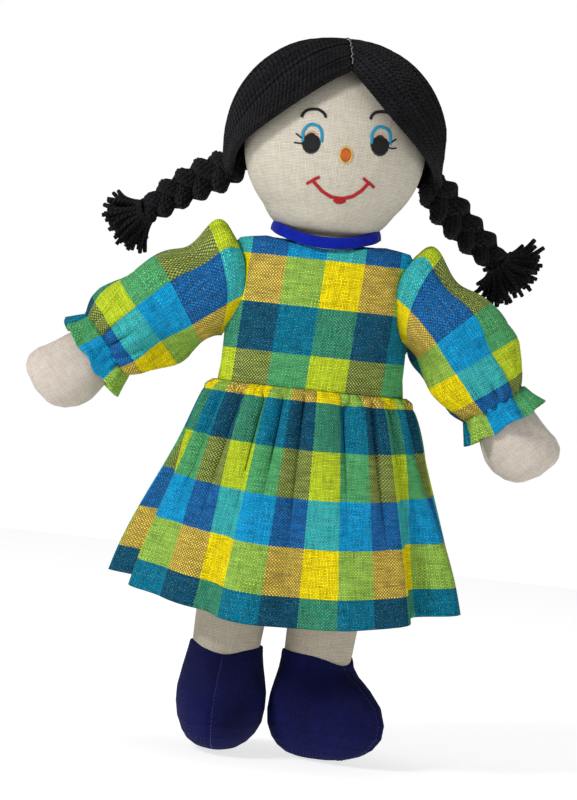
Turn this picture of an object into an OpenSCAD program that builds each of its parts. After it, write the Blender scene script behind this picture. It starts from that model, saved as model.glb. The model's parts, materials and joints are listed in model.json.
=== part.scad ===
// Stuffed cloth rag doll in a checked cotton dress.
// The dress, the stuffed limbs, the wool hair and the stitched face are separate sewn pieces.
// Millimetres, +Z up, the face looks along -Y and +X is the doll's own left.
// The origin is the middle of the waist seam, where a hand or a display clip holds the doll.

/* [Trunk] */
// Width of the bodice at the waist
trunk_w = 91; // [76:1:110]
// Depth of the bodice, front to back, at the waist
trunk_d = 62; // [52:1:75]
// Height from the waist seam to the neck edge of the bodice
trunk_h = 73; // [60:1:90]
// Length of the stuffed trunk below the waist
hip_drop = 24; // [20:1:29]
// Width of the neck hole, middle to middle of its binding
neck_w = 50; // [42:1:60]
// Thickness of the bias binding round the neck
binding_d = 4.8; // [4:0.1:5.8]
// Width of the stuffed neck
neck_d = 28; // [23:1:32]

/* [Cloth] */
// Thickness of the woven dress cotton
cotton_t = 1.2; // [1:0.1:1.5]
// Thickness of the calico skin
calico_t = 0.8; // [0.6:0.1:1]
// Air left between two layers of cloth
cloth_gap = 0.2; // [0.15:0.05:0.3]
// Width of the hook-and-loop tape that closes the back
tape_w = 9; // [7:0.5:12]

/* [Head] */
// Diameter of the stuffed head
head_d = 90; // [75:1:108]
// Thickness of the yarn over the head
hair_t = 10; // [7:0.5:12]
// How far the crown of the hair stands above a centred cap
hair_lift = 1.5; // [0:0.5:3]
// Angle that the parting and the face look to the doll's left
face_turn = 6; // [0:0.5:12]
// Tilt of the stitched features
face_tilt = 4.5; // [0:0.5:8]
// Thickness of the raised embroidery
stitch_t = 0.6; // [0.4:0.1:0.9]

/* [Braids] */
// Length of a plait from the head to its tie
plait_len = 57; // [48:1:68]
// Width of a plait
plait_d = 19; // [16:0.5:22]
// Length of the loose tassel under the tie
tassel_len = 24; // [20:1:29]
// Width of the tassel where its ends fan out
tassel_d = 30; // [25:1:36]
// Drop of the left plait below level
drop_left = 33; // [30:1:45]
// Drop of the right plait below level
drop_right = 24; // [24:1:40]
// How far both plaits point backward
braid_back = 40; // [30:1:42]

/* [Arms] */
// Length of an arm from the shoulder to the end of the hand
arm_len = 97; // [92:1:132]
// Width of the stuffed arm
arm_d = 28; // [24:1:34]
// Width of the mitten hand
hand_d = 35; // [29:1:38]
// Width of the puffed sleeve
sleeve_d = 47; // [42:1:50]
// Room between the stuffed arm and the sleeve head that turns in the armhole
sleeve_ease = 6; // [5:0.5:7]
// Angle of the left arm below level
arm_drop_left = 54; // [40:1:55]
// Angle of the right arm below level
arm_drop_right = 40; // [30:1:50]

/* [Skirt] */
// Length of the skirt at the middle of the front
skirt_len = 116; // [97:1:128]
// Width of the skirt at the hem
hem_w = 166; // [140:1:199]
// Depth of the skirt at the hem
hem_d = 122; // [105:1:146]
// How much higher the hem hangs at the sides than in front
hem_rise = 16; // [0:1:20]
// Depth of the turned-up hem
hem_band = 8; // [6:0.5:10]

/* [Legs] */
// Length from the hip joint to the sole
leg_len = 138; // [118:1:165]
// Width of a leg at the hip
leg_d = 37; // [31:1:40]
// Width of a leg at the ankle
ankle_d = 34; // [29:1:38]
// Gap between the two boots when they point straight ahead
leg_gap = 2; // [1:0.5:6]
// Sideways lean of the legs toward the doll's right
leg_lean = 3; // [0:0.5:5]
// Height of a cloth boot
boot_h = 54; // [46:1:64]
// Width of a boot across the foot
boot_w = 44; // [40:1:53]
// Length of a boot from heel to toe
boot_len = 60; // [52:1:72]
// Angle that the left boot turns out
toe_out_left = 42; // [0:1:50]
// Angle that the right boot turns out
toe_out_right = -4; // [-10:1:10]

/* [Hidden] */
$fn = 64;

LEFT = 1;
RIGHT = -1;
big = 400;

calico = [0.80, 0.77, 0.70];
filling = [0.95, 0.95, 0.93];
check_blue = [0.05, 0.55, 0.75];
check_teal = [0.05, 0.40, 0.48];
check_yellow = [0.90, 0.82, 0.12];
check_lime = [0.70, 0.80, 0.20];
royal_blue = [0.04, 0.14, 0.70];
navy = [0.10, 0.10, 0.32];
wool = [0.10, 0.10, 0.11];
grey_tape = [0.75, 0.75, 0.75];

// Shoulder joint: the sleeve head is a ball that turns in a round armhole.
arm_r = arm_d/2;
arm_head_r = arm_r + sleeve_ease;
armhole_r = arm_head_r + 0.4;
shoulder_x = trunk_w/2 + 0.5 + 0.7*arm_head_r;
shoulder_z = trunk_h - 27;

// Layers under the bodice, each measured inward from its outside.
hook_in = cotton_t + cloth_gap;
tape_t = 0.8;
loop_in = hook_in + tape_t + cloth_gap;
skin_in = loop_in + tape_t + 0.4;
fill_in = skin_in + calico_t + cloth_gap;

// Head and neck
head_r = head_d/2;
head_seat = 2;
head_z = trunk_h + head_seat + head_r;
neck_top = trunk_h + 11;
binding_z = trunk_h + binding_d/2 + cloth_gap;
hair_r = head_r + hair_t;
stitch_gap = 0.1;

// Braid roots sit on the outside of the hair, level with the ears.
root_drop = 16.4;
root_back = 12;
root_x = sqrt(pow(hair_r + 0.5, 2) - pow(root_drop, 2) - pow(root_back, 2));
root_z = head_z + hair_lift - root_drop;

// Arm: distances along it from the shoulder
cuff_at = arm_len - 42;
frill_len = 11;
elastic_d = 1.4;
hand_r = hand_d/2;
cuff_r = arm_r + 0.3;

// Leg
hip_r = leg_d/2;
hip_z = -(hip_drop + hip_r + 2.5);
boot_r = boot_w/2;
ankle_r = ankle_d/2;
sole_z = hip_z - leg_len;
leg_space = boot_w + leg_gap;
boot_top = sole_z + boot_h;
// The leg leans, so the low side of its end has to stay above the boot.
shin_len = (hip_z - boot_top - cloth_gap)/cos(leg_lean) - ankle_r*tan(leg_lean);

// Skirt
gather_h = 12;
gather_flare = 4;

// Outline of the trunk: [height, half width, half depth, wall scale] from the hips to the neck.
// The wall scale thickens the cloth where the shoulder lies nearly flat.
function trunk_rings(inset) = let (w = trunk_w/2 - inset, d = trunk_d/2 - inset, h = trunk_h) [
  [0.3, w, d, 1],
  [0.25*h, w - 0.6, d, 1],
  [0.5*h, w - 1, d - 1.2, 1],
  [0.72*h, w - 1, d - 3, 1],
  [0.86*h, w - 1.8, d - 5, 1.1],
  [0.93*h, w - 3.6, d - 6.4, 1.4],
  [0.97*h, w - 8.5, d - 7.6, 2.2],
  [h, neck_w/2 + 2.5 - inset*0.6, neck_w/2 - 0.5 - inset*0.6, 2.5]
];

// The stuffed trunk ends lower than the bodice at the neck, and goes on below the waist.
function body_rings(inset) = let (w = trunk_w/2 - inset, d = trunk_d/2 - inset, h = trunk_h) [
  [-hip_drop, w - 6, d - 7, 1],
  [-0.8*hip_drop, w - 2, d - 3, 1],
  [-0.3*hip_drop, w, d, 1],
  [0.25*h, w - 0.6, d, 1],
  [0.5*h, w - 1, d - 1.2, 1],
  [0.72*h, w - 1, d - 3, 1],
  [0.84*h, w - 2.5, d - 5.5, 1],
  [0.9*h, w - 8, d - 8, 1]
];

// Outline of the skirt from the waist to the hem. The last value is the share of the hem's rise.
function skirt_rings(inset, top, bottom) = [
  for (k = [0:8])
    let (u = top + (bottom - top)*k/8)
    [-skirt_len*u,
     trunk_w/2 + (hem_w/2 - trunk_w/2)*pow(u, 0.85) - inset,
     trunk_d/2 + (hem_d/2 - trunk_d/2)*pow(u, 0.85) - inset,
     1,
     u*u]
];

// One level of a sewn panel: an outer arc from angle a0 to a1 and the inner arc back.
function wall_ring(r, t, a0, a1, n) = let (wall = t*r[3], lift = len(r) > 4 ? hem_rise*r[4] : 0) concat(
  [for (i = [0:n]) let (a = a0 + (a1 - a0)*i/n)
    [r[1]*cos(a), r[2]*sin(a), r[0] + lift*pow(cos(a), 2)]],
  [for (i = [n:-1:0]) let (a = a0 + (a1 - a0)*i/n)
    [(r[1] - wall)*cos(a), (r[2] - wall)*sin(a), r[0] + lift*pow(cos(a), 2)]]
);

// A curved panel of cloth, closed all round, between two angles.
module panel(rings, t, a0, a1, n = 18) {
  // Rings are sorted upward so that the faces look outward.
  up = rings[0][0] < rings[1][0] ? rings : [for (k = [len(rings) - 1:-1:0]) rings[k]];
  m = 2*(n + 1);
  last = len(up) - 1;
  points = [for (r = up) each wall_ring(r, t, a0, a1, n)];
  sides = [for (k = [0:last - 1], j = [0:m - 1])
    let (b = k*m + j, c = k*m + (j + 1)%m)
    each [[b, b + m, c + m], [b, c + m, c]]];
  bottom = [for (i = [0:n - 1]) each [[i, i + 1, m - 2 - i], [i, m - 2 - i, m - 1 - i]]];
  top = [for (i = [0:n - 1])
    let (o = last*m)
    each [[o + i, o + m - 2 - i, o + i + 1], [o + i, o + m - 1 - i, o + m - 2 - i]]];
  polyhedron(points, concat(sides, bottom, top), convexity = 6);
}

// A solid stuffing that follows the same outline.
module filled(rings, n = 36) {
  last = len(rings) - 1;
  points = concat(
    [for (r = rings, i = [0:n - 1]) [r[1]*cos(360*i/n), r[2]*sin(360*i/n), r[0]]],
    [[0, 0, rings[0][0]], [0, 0, rings[last][0]]]);
  low = len(points) - 2;
  sides = [for (k = [0:last - 1], j = [0:n - 1])
    let (b = k*n + j, c = k*n + (j + 1)%n)
    each [[b, b + n, c + n], [b, c + n, c]]];
  bottom = [for (j = [0:n - 1]) [low, j, (j + 1)%n]];
  top = [for (j = [0:n - 1]) [low + 1, last*n + (j + 1)%n, last*n + j]];
  polyhedron(points, concat(sides, bottom, top), convexity = 4);
}

module armholes(r) {
  for (side = [LEFT, RIGHT])
    translate([side*shoulder_x, 0, shoulder_z]) sphere(r);
}

// ---- Trunk ----
seam_a = 0.3;

module torso_panel(a0, a1) {
  color(calico) difference() {
    panel(body_rings(skin_in), calico_t, a0 + seam_a, a1 - seam_a);
    armholes(armhole_r);
  }
}
module torso_front_panel() { torso_panel(180, 360); }
module torso_back_panel() { torso_panel(0, 180); }

module torso_stuffing() {
  color(filling) difference() {
    filled(body_rings(fill_in));
    armholes(armhole_r + calico_t + cloth_gap);
  }
}

module bodice_panel(a0, a1, n) {
  difference() {
    panel(trunk_rings(0), cotton_t, a0 + seam_a, a1 - seam_a, n);
    armholes(armhole_r);
  }
}
module bodice_front() { color(check_blue) bodice_panel(180, 360, 20); }
module bodice_back_left() { color(check_yellow) bodice_panel(0, 90, 10); }
module bodice_back_right() { color(check_teal) bodice_panel(90, 180, 10); }

// The two tapes lie one on the other inside the back opening, below the neck.
module back_tape(inset) {
  half_a = asin(tape_w/trunk_w);
  rings = [for (r = trunk_rings(inset)) if (r[0] > 1 && r[0] < 0.9*trunk_h) r];
  panel(rings, tape_t, 90 - half_a, 90 + half_a, 4);
}
module hook_tape() { color(grey_tape) back_tape(hook_in); }
module loop_tape() { color(wool) back_tape(loop_in); }

module neck_binding() {
  color(royal_blue) translate([0, 0, binding_z])
    rotate_extrude() translate([neck_w/2, 0]) circle(binding_d/2);
}

// The gathered top of the skirt, sewn to the bodice at the waist.
module skirt_gathers() {
  low = gather_h/skirt_len;
  color(check_yellow)
    panel([for (r = skirt_rings(0, 0.004, low)) [r[0], r[1], r[2], 1]], cotton_t, seam_a, 360 - seam_a, 40);
}

// ---- Neck and head ----
module neck_tube() {
  color(calico) translate([0, 0, 0.9*trunk_h + 0.3])
    cylinder(h = neck_top - 0.9*trunk_h - 0.3, d = neck_d);
}

module at_head() { translate([0, 0, head_z]) children(); }

module neck_socket() {
  translate([0, 0, -big]) cylinder(h = big + neck_top + 0.3, d = neck_d + 0.6);
}

module head_skin(front) {
  color(calico) difference() {
    at_head() difference() {
      sphere(head_r);
      sphere(head_r - calico_t);
      translate([0, (front ? 1 : -1)*(big/2 - cloth_gap/2), 0]) cube(big, center = true);
    }
    neck_socket();
  }
}
module head_front_panel() { head_skin(true); }
module head_back_panel() { head_skin(false); }

module head_stuffing() {
  color(filling) difference() {
    at_head() sphere(head_r - calico_t - cloth_gap);
    neck_socket();
  }
}

// The hair parts over the brow and sweeps down to the ears, and covers the back down to the nape.
brow_z = 0.78*head_r;
brow_x = 0.138*head_r;
ear_x = 0.98*head_r;
ear_z = -0.09*head_r;
nape_z = -0.7*head_r;
ear_y = 6;
module face_opening() {
  outline = [
    [brow_x, brow_z],
    [0.61*head_r, 0.345*head_r],
    [ear_x, ear_z],
    [big, -0.5*head_r],
    [big, -big],
    [-big, -big],
    [-big, -0.5*head_r],
    [-ear_x, ear_z],
    [-0.45*head_r, 0.4*head_r],
    [-0.19*head_r, 0.58*head_r]
  ];
  translate([0, ear_y, 0]) rotate([90, 0, 0]) linear_extrude(big) polygon(outline);
}
module hair_half(side) {
  color(wool) at_head() difference() {
    translate([0, 0, hair_lift]) sphere(hair_r);
    sphere(head_r + 0.4);
    rotate([0, 0, face_turn]) translate([-side*(big/2 - 0.15), 0, 0]) cube(big, center = true);
    face_opening();
    translate([0, 0, nape_z - big/2]) cube(big, center = true);
  }
}
module hair_left() { hair_half(LEFT); }
module hair_right() { hair_half(RIGHT); }

// One line of backstitch runs along the parting from the brow over the crown.
parting_start = 42;
parting_sweep = 100;
module parting_stitches() {
  color(wool) at_head() translate([0, 0, hair_lift]) rotate([0, 0, face_turn])
    rotate([0, -90, 0]) rotate([0, 0, parting_start - 90])
      rotate_extrude(angle = parting_sweep) translate([hair_r + 0.7, 0]) circle(0.5, $fn = 24);
}

// ---- Stitched face: thin raised shapes that follow the round of the head ----
face_x = 4.6;
eye_dx = 16.6;
module through_face(x, z, tilt = face_tilt) {
  at_head() translate([face_x + x, 0, z]) rotate([90, 0, 0]) linear_extrude(big) rotate(tilt) children();
}
module on_face(x, z, tilt = face_tilt) {
  intersection() {
    at_head() difference() {
      sphere(head_r + stitch_gap + stitch_t);
      sphere(head_r + stitch_gap);
    }
    through_face(x, z, tilt) children();
  }
}
module oval(w, h) { scale([w/h, 1]) circle(d = h, $fn = 32); }
module arch(w, rise, line, sweep) {
  // A bow of thread: the upper part of a ring.
  r = w/2;
  intersection() {
    difference() {
      circle(r + line/2, $fn = 48);
      circle(r - line/2, $fn = 48);
    }
    translate([-w, r - rise]) square([2*w, 2*w]);
  }
}
eye_z = 0;
eye_lift = eye_dx*sin(face_tilt);
module eye_at(side, dz) { on_face(side*eye_dx, eye_z + dz + side*eye_lift) children(); }
module eyebrow(side) { color(wool) eye_at(side, 10.5) arch(12, 4.2, 1.8); }
// The pupil is stitched over the lower ends of the lid, so the lid is a bow that stops above it.
module eyelid(side) { color([0.12, 0.62, 0.78]) eye_at(side, 5.6) arch(9, 4.8, 1.7); }
module pupil(side) { color("black") eye_at(side, -0.2) oval(8.8, 10.3); }
module eyelashes(side) {
  color("black") eye_at(side, 0)
    for (k = [0, 1])
      translate([side*4.9, -0.6 + 2.4*k]) rotate(side > 0 ? 4 + 26*k : 176 - 26*k)
        square([3.4, 0.8]);
}
nose_z = -5.4;
module nose() { color([0.80, 0.36, 0.10]) on_face(0.7, nose_z) oval(4.9, 6.6); }
module nose_outline() {
  color([0.92, 0.75, 0.15]) on_face(0.7, nose_z) difference() {
    oval(6.5, 8.2);
    oval(5.3, 7);
  }
}
smile_w = 27;
smile_drop = 10;
module mouth() {
  r = (pow(smile_w/2, 2) + pow(smile_drop, 2))/(2*smile_drop);
  color([0.78, 0.10, 0.16]) on_face(-0.4, -17.4, face_tilt - 1) union() {
    intersection() {
      translate([0, r - smile_drop]) difference() {
        circle(r + 0.9);
        circle(r - 0.9);
      }
      translate([-smile_w/2, -big]) square([smile_w, big]);
    }
    for (side = [-1, 1])
      translate([side*smile_w/2, 0]) rotate(-side*35) square([7.4, 1.7], center = true);
    translate([0, -smile_drop - 1]) circle(d = 3.4, $fn = 24);
  }
}

// ---- Braids ----
module at_braid(side) {
  e = side == LEFT ? drop_left : drop_right;
  translate([side*root_x, root_back, root_z])
    rotate([0, 0, side == LEFT ? braid_back : 180 - braid_back])
      rotate([0, 90 + e, 0]) children();
}
plait_from = 2.5;
lobe_start = 20;
module plait(side) {
  r = plait_d/2;
  lobes = [for (k = [0:6])
    [r*(k % 2 == 0 ? 1 : 0.86)*(1 - 0.045*k), lobe_start + (plait_len - lobe_start)*k/6]];
  color(wool) at_braid(side)
    rotate_extrude($fn = 32)
      polygon(concat([[0, plait_from], [plait_from*r/lobe_start, plait_from]], lobes, [[0, plait_len]]));
}
tie_r = plait_d/2*0.72;
tie_w = 3;
module braid_tie(side) {
  color(wool) at_braid(side) translate([0, 0, plait_len + cloth_gap])
    cylinder(h = tie_w, r = tie_r);
}
module tassel(side) {
  top = plait_len + tie_w + 2*cloth_gap;
  color(wool) at_braid(side)
    rotate_extrude($fn = 32)
      polygon([[0, top], [tie_r, top], [tassel_d*0.42, top + 0.6*tassel_len],
        [tassel_d/2, top + 0.88*tassel_len], [tassel_d*0.36, top + tassel_len], [0, top + tassel_len]]);
}

// ---- Arms: local +Z runs from the shoulder to the hand ----
module at_arm(side) {
  drop = side == LEFT ? arm_drop_left : arm_drop_right;
  translate([side*shoulder_x, 0, shoulder_z]) rotate([0, side*(90 + drop), 0]) children();
}
arm_top = -8;
function arm_outline(inset) = let (n = arm_len, h = hand_r) [
  for (p = [[arm_top, 0], [arm_top, 0.7*arm_r], [arm_top + 4, 0.92*arm_r], [arm_top + 12, arm_r],
    [cuff_at + 4, arm_r], [n - 28, 0.91*h], [n - 20, 0.99*h], [n - 13, h], [n - 7, 0.9*h],
    [n - 3, 0.68*h], [n - 0.8, 0.4*h], [n, 0.15*h], [n, 0]])
    [max(0, p[1] - inset), min(n - inset, max(arm_top + inset, p[0]))]
];
module arm_form(inset) { rotate_extrude($fn = 48) polygon(arm_outline(inset)); }
module arm_skin(side) {
  color(calico) at_arm(side) difference() {
    arm_form(0);
    arm_form(calico_t);
  }
}
module arm_stuffing(side) { color(filling) at_arm(side) arm_form(calico_t + cloth_gap); }

// The unstuffed top of the arm cloth, caught in the armhole seam.
module shoulder_tab(side) {
  color(calico) translate([side*shoulder_x, 0, shoulder_z]) intersection() {
    difference() {
      sphere(arm_head_r - cotton_t - 0.4);
      sphere(arm_r + 1.2);
    }
    rotate([0, -side*90, 0]) cylinder(h = big, r = 5);
  }
}

function sleeve_outline(t) = let (r = sleeve_d/2, a = arm_head_r, c = cuff_at) [
  [0.8*a - t, -0.6*a],
  [0.955*a - t, -0.3*a],
  [a - t, 0],
  [a + 0.3*(r - a) - t, 0.12*c],
  [a + 0.8*(r - a) - t, 0.27*c],
  [r - t, 0.45*c],
  [r - 0.02*c - t, 0.62*c],
  [r - 0.07*c - t, 0.77*c],
  [cuff_r + 2.2 + cotton_t - t, 0.9*c],
  [cuff_r + cotton_t - t, c - elastic_d/2 - cloth_gap]
];
module sleeve(side) {
  out = sleeve_outline(0);
  inner = sleeve_outline(cotton_t);
  color(side == LEFT ? check_teal : check_blue) at_arm(side)
    rotate_extrude($fn = 48)
      polygon(concat(out, [for (k = [len(inner) - 1:-1:0]) inner[k]]));
}
module cuff_elastic(side) {
  color(filling) at_arm(side) translate([0, 0, cuff_at])
    rotate_extrude($fn = 48) translate([cuff_r + elastic_d/2, 0]) circle(elastic_d/2, $fn = 24);
}
module cuff_frill(side) {
  z0 = cuff_at + elastic_d/2 + cloth_gap;
  z1 = cuff_at + elastic_d/2 + frill_len;
  r0 = cuff_r;
  r1 = sleeve_d/2 - cotton_t;
  color(check_lime) at_arm(side)
    rotate_extrude($fn = 48)
      polygon([[r0, z0], [r0 + cotton_t, z0], [0.6*r1 + 0.4*r0 + cotton_t, (z0 + z1)/2],
        [r1 + cotton_t, z1], [r1, z1], [0.6*r1 + 0.4*r0, (z0 + z1)/2]]);
}

// ---- Skirt: the part that folds at the hips when the doll sits ----
skirt_top = (gather_h + cloth_gap)/skirt_len;
module skirt_half(a0, a1) {
  panel(skirt_rings(0, skirt_top, 1), cotton_t, a0 + seam_a, a1 - seam_a, 18);
}
module skirt_front() { color(check_teal) skirt_half(180, 360); }
module skirt_back() { color(check_teal) skirt_half(0, 180); }
module skirt_hem() {
  color(check_yellow)
    panel(skirt_rings(cotton_t + 3*cloth_gap, 1 - hem_band/skirt_len, 1),
      cotton_t, seam_a, 360 - seam_a, 40);
}

// ---- Legs: local +Z runs from the hip to the ankle ----
module at_leg(side) {
  translate([side*leg_space/2, 0, hip_z]) rotate([0, 180 + leg_lean, 0]) children();
}
module leg_form(inset) {
  sphere(hip_r - inset);
  cylinder(h = shin_len - inset, r1 = hip_r - inset, r2 = ankle_r - inset);
}
module leg_skin(side) {
  color(calico) at_leg(side) difference() {
    leg_form(0);
    leg_form(calico_t);
  }
}
module leg_stuffing(side) { color(filling) at_leg(side) leg_form(calico_t + cloth_gap); }

// Flat calico tabs at the top of both legs, sewn into the bottom seam of the trunk.
module hip_tabs() {
  color(calico)
    for (side = [LEFT, RIGHT])
      translate([side*leg_space/2, 0, hip_z + hip_r + 0.6]) cylinder(h = 1, r = 6);
}

// The boot is a bulbous foot under a short upright ankle.
module at_foot(side) {
  ankle_x = side*leg_space/2 - shin_len*sin(leg_lean);
  yaw = side == LEFT ? toe_out_left : toe_out_right;
  translate([ankle_x, 0, sole_z]) rotate([0, 0, yaw]) children();
}
module boot_form(inset) {
  r = boot_r - inset;
  toe = boot_len - boot_w;
  translate([0, 0, boot_r]) {
    sphere(r);
    translate([0, -toe, 0]) sphere(r);
    rotate([90, 0, 0]) cylinder(h = toe, r = r);
    cylinder(h = boot_h - boot_r - 0.6 - inset, r = ankle_r + 2 - inset);
  }
}
module boot_panel(side, keep) {
  color(navy) at_foot(side) difference() {
    boot_form(0);
    boot_form(calico_t);
    translate([-keep*(big/2 - cloth_gap/2), 0, 0]) cube(big, center = true);
  }
}
module boot_inner_panel(side) { boot_panel(side, -side); }
module boot_outer_panel(side) { boot_panel(side, side); }
module boot_stuffing(side) { color(filling) at_foot(side) boot_form(calico_t + cloth_gap); }

torso_front_panel();
torso_back_panel();
torso_stuffing();
bodice_front();
bodice_back_left();
bodice_back_right();
hook_tape();
loop_tape();
neck_binding();
skirt_gathers();
neck_tube();
head_front_panel();
head_back_panel();
head_stuffing();
hair_left();
hair_right();
parting_stitches();
eyebrow(LEFT);  // eyebrow_left
eyebrow(RIGHT);  // eyebrow_right
eyelid(LEFT);  // eyelid_left
eyelid(RIGHT);  // eyelid_right
pupil(LEFT);  // pupil_left
pupil(RIGHT);  // pupil_right
eyelashes(LEFT);  // eyelashes_left
eyelashes(RIGHT);  // eyelashes_right
nose();
nose_outline();
mouth();
plait(LEFT);  // plait_left
plait(RIGHT);  // plait_right
braid_tie(LEFT);  // braid_tie_left
braid_tie(RIGHT);  // braid_tie_right
tassel(LEFT);  // tassel_left
tassel(RIGHT);  // tassel_right
shoulder_tab(LEFT);  // shoulder_tab_left
shoulder_tab(RIGHT);  // shoulder_tab_right
arm_skin(LEFT);  // arm_skin_left
arm_skin(RIGHT);  // arm_skin_right
arm_stuffing(LEFT);  // arm_stuffing_left
arm_stuffing(RIGHT);  // arm_stuffing_right
sleeve(LEFT);  // sleeve_left
sleeve(RIGHT);  // sleeve_right
cuff_elastic(LEFT);  // cuff_elastic_left
cuff_elastic(RIGHT);  // cuff_elastic_right
cuff_frill(LEFT);  // cuff_frill_left
cuff_frill(RIGHT);  // cuff_frill_right
skirt_front();
skirt_back();
skirt_hem();
hip_tabs();
leg_skin(LEFT);  // leg_skin_left
leg_skin(RIGHT);  // leg_skin_right
leg_stuffing(LEFT);  // leg_stuffing_left
leg_stuffing(RIGHT);  // leg_stuffing_right
boot_inner_panel(LEFT);  // boot_inner_panel_left
boot_inner_panel(RIGHT);  // boot_inner_panel_right
boot_outer_panel(LEFT);  // boot_outer_panel_left
boot_outer_panel(RIGHT);  // boot_outer_panel_right
boot_stuffing(LEFT);  // boot_stuffing_left
boot_stuffing(RIGHT);  // boot_stuffing_right
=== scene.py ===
import json
import math
import random

import bpy
import numpy as np
from mathutils import Matrix, Vector


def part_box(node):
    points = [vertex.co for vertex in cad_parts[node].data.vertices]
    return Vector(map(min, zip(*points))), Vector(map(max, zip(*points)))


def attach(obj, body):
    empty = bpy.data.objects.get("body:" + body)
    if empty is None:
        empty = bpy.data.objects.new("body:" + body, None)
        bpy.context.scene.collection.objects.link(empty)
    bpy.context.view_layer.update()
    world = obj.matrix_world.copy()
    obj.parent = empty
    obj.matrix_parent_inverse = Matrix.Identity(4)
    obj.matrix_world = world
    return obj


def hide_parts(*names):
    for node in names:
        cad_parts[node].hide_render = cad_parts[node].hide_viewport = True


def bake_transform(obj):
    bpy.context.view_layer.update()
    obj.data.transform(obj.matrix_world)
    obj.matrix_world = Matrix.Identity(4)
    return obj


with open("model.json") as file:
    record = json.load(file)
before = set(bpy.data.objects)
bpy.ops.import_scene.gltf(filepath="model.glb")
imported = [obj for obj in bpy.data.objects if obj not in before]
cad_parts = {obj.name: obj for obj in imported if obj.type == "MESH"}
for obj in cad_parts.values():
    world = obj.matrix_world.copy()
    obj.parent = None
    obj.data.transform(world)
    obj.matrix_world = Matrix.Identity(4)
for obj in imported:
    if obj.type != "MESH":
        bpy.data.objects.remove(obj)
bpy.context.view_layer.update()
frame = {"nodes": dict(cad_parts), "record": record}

MM = 0.001
LEFT, RIGHT = 1, -1
side_name = {LEFT: "left", RIGHT: "right"}
joint = {j["name"]: j for j in frame["record"]["behaviour"]["joints"]}


# ---- Calico skin of the trunk and neck ----
# The body is cut from unbleached plain-woven cotton and stuffed with loose fibre. Only the neck
# ever shows, in the gap above the dress. The cloth has fine threads with brown seed flecks.

def new_group(name, inputs, outputs):
    # A shader node group with named sockets.
    group = bpy.data.node_groups.new(name, "ShaderNodeTree")
    for label, kind, value in inputs:
        socket = group.interface.new_socket(label, in_out="INPUT", socket_type="NodeSocket" + kind)
        if value is not None:
            socket.default_value = value
    for label, kind in outputs:
        group.interface.new_socket(label, in_out="OUTPUT", socket_type="NodeSocket" + kind)
    return group


def math_node(tree, operation, *inputs, clamp=False):
    node = tree.nodes.new("ShaderNodeMath")
    node.operation = operation
    node.use_clamp = clamp
    for slot, value in zip(node.inputs, inputs):
        if isinstance(value, (int, float)):
            slot.default_value = value
        else:
            tree.links.new(value, slot)
    return node.outputs[0]


def maths(operation):
    return lambda tree, *inputs, clamp=False: math_node(tree, operation, *inputs, clamp=clamp)


add, mul, mul_add, sine, fract, divide, above = map(maths, (
    "ADD", "MULTIPLY", "MULTIPLY_ADD", "SINE", "FRACT", "DIVIDE", "GREATER_THAN"))


def colour_mix(tree, factor, a, b, blend="MIX"):
    node = tree.nodes.new("ShaderNodeMix")
    node.data_type = "RGBA"
    node.blend_type = blend
    for slot, value in ((node.inputs[0], factor), (node.inputs[6], a), (node.inputs[7], b)):
        if isinstance(value, (int, float)):
            slot.default_value = value
        elif isinstance(value, tuple):
            slot.default_value = (*value, 1.0)
        else:
            tree.links.new(value, slot)
    return node.outputs[2]


def noise(tree, vector, scale, detail=2.0, dimensions="3D"):
    node = tree.nodes.new("ShaderNodeTexNoise")
    node.noise_dimensions = dimensions
    node.inputs["Scale"].default_value = scale
    node.inputs["Detail"].default_value = detail
    if vector is not None:
        tree.links.new(vector, node.inputs["Vector"])
    return node.outputs["Fac"]


def combine(tree, x, y, z=0.0):
    node = tree.nodes.new("ShaderNodeCombineXYZ")
    for slot, value in zip(node.inputs, (x, y, z)):
        if isinstance(value, (int, float)):
            slot.default_value = value
        else:
            tree.links.new(value, slot)
    return node.outputs[0]


def linear(red, green, blue):
    # The colour of a dyed thread as a shader reads it, from how bright it looks out of 255.
    return tuple(((c/255 + 0.055)/1.055)**2.4 if c > 10 else c/255/12.92 for c in (red, green, blue))


# Plain weave: which thread is on top, how high it stands, and how each yarn varies along its length.
weave = new_group("plain weave", [("Thread mm", "Vector", None), ("Pitch", "Float", 0.6)],
                  [(label, "Float") for label in ("Warp On Top", "Height", "Weft Tone", "Warp Tone")])
w_in = weave.nodes.new("NodeGroupInput")
w_out = weave.nodes.new("NodeGroupOutput")
split = weave.nodes.new("ShaderNodeSeparateXYZ")
weave.links.new(w_in.outputs["Thread mm"], split.inputs[0])
along = divide(weave, split.outputs[0], w_in.outputs["Pitch"])
across = divide(weave, split.outputs[1], w_in.outputs["Pitch"])
col = math_node(weave, "FLOOR", along)
row = math_node(weave, "FLOOR", across)
parity = math_node(weave, "PINGPONG", add(weave, col, row), 1.0)
bow_x = sine(weave, mul(weave, fract(weave, along), math.pi))
bow_y = sine(weave, mul(weave, fract(weave, across), math.pi))
warp_h = mul(weave, bow_x, mul_add(weave, bow_y, 0.5, 0.5))
weft_h = mul(weave, bow_y, mul_add(weave, bow_x, 0.5, 0.5))
height = add(weave, mul(weave, parity, warp_h),
                   mul(weave, math_node(weave, "SUBTRACT", 1.0, parity), weft_h))
weft_tone = noise(weave, combine(weave, mul(weave, along, 0.09),
                                 mul(weave, row, 5.37)), 1.0, 1.0, "2D")
warp_tone = noise(weave, combine(weave, mul(weave, col, 5.37),
                                 mul(weave, across, 0.09)), 1.0, 1.0, "2D")
for label, value in (("Warp On Top", parity), ("Height", height),
                     ("Weft Tone", weft_tone), ("Warp Tone", warp_tone)):
    weave.links.new(value, w_out.inputs[label])


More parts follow.
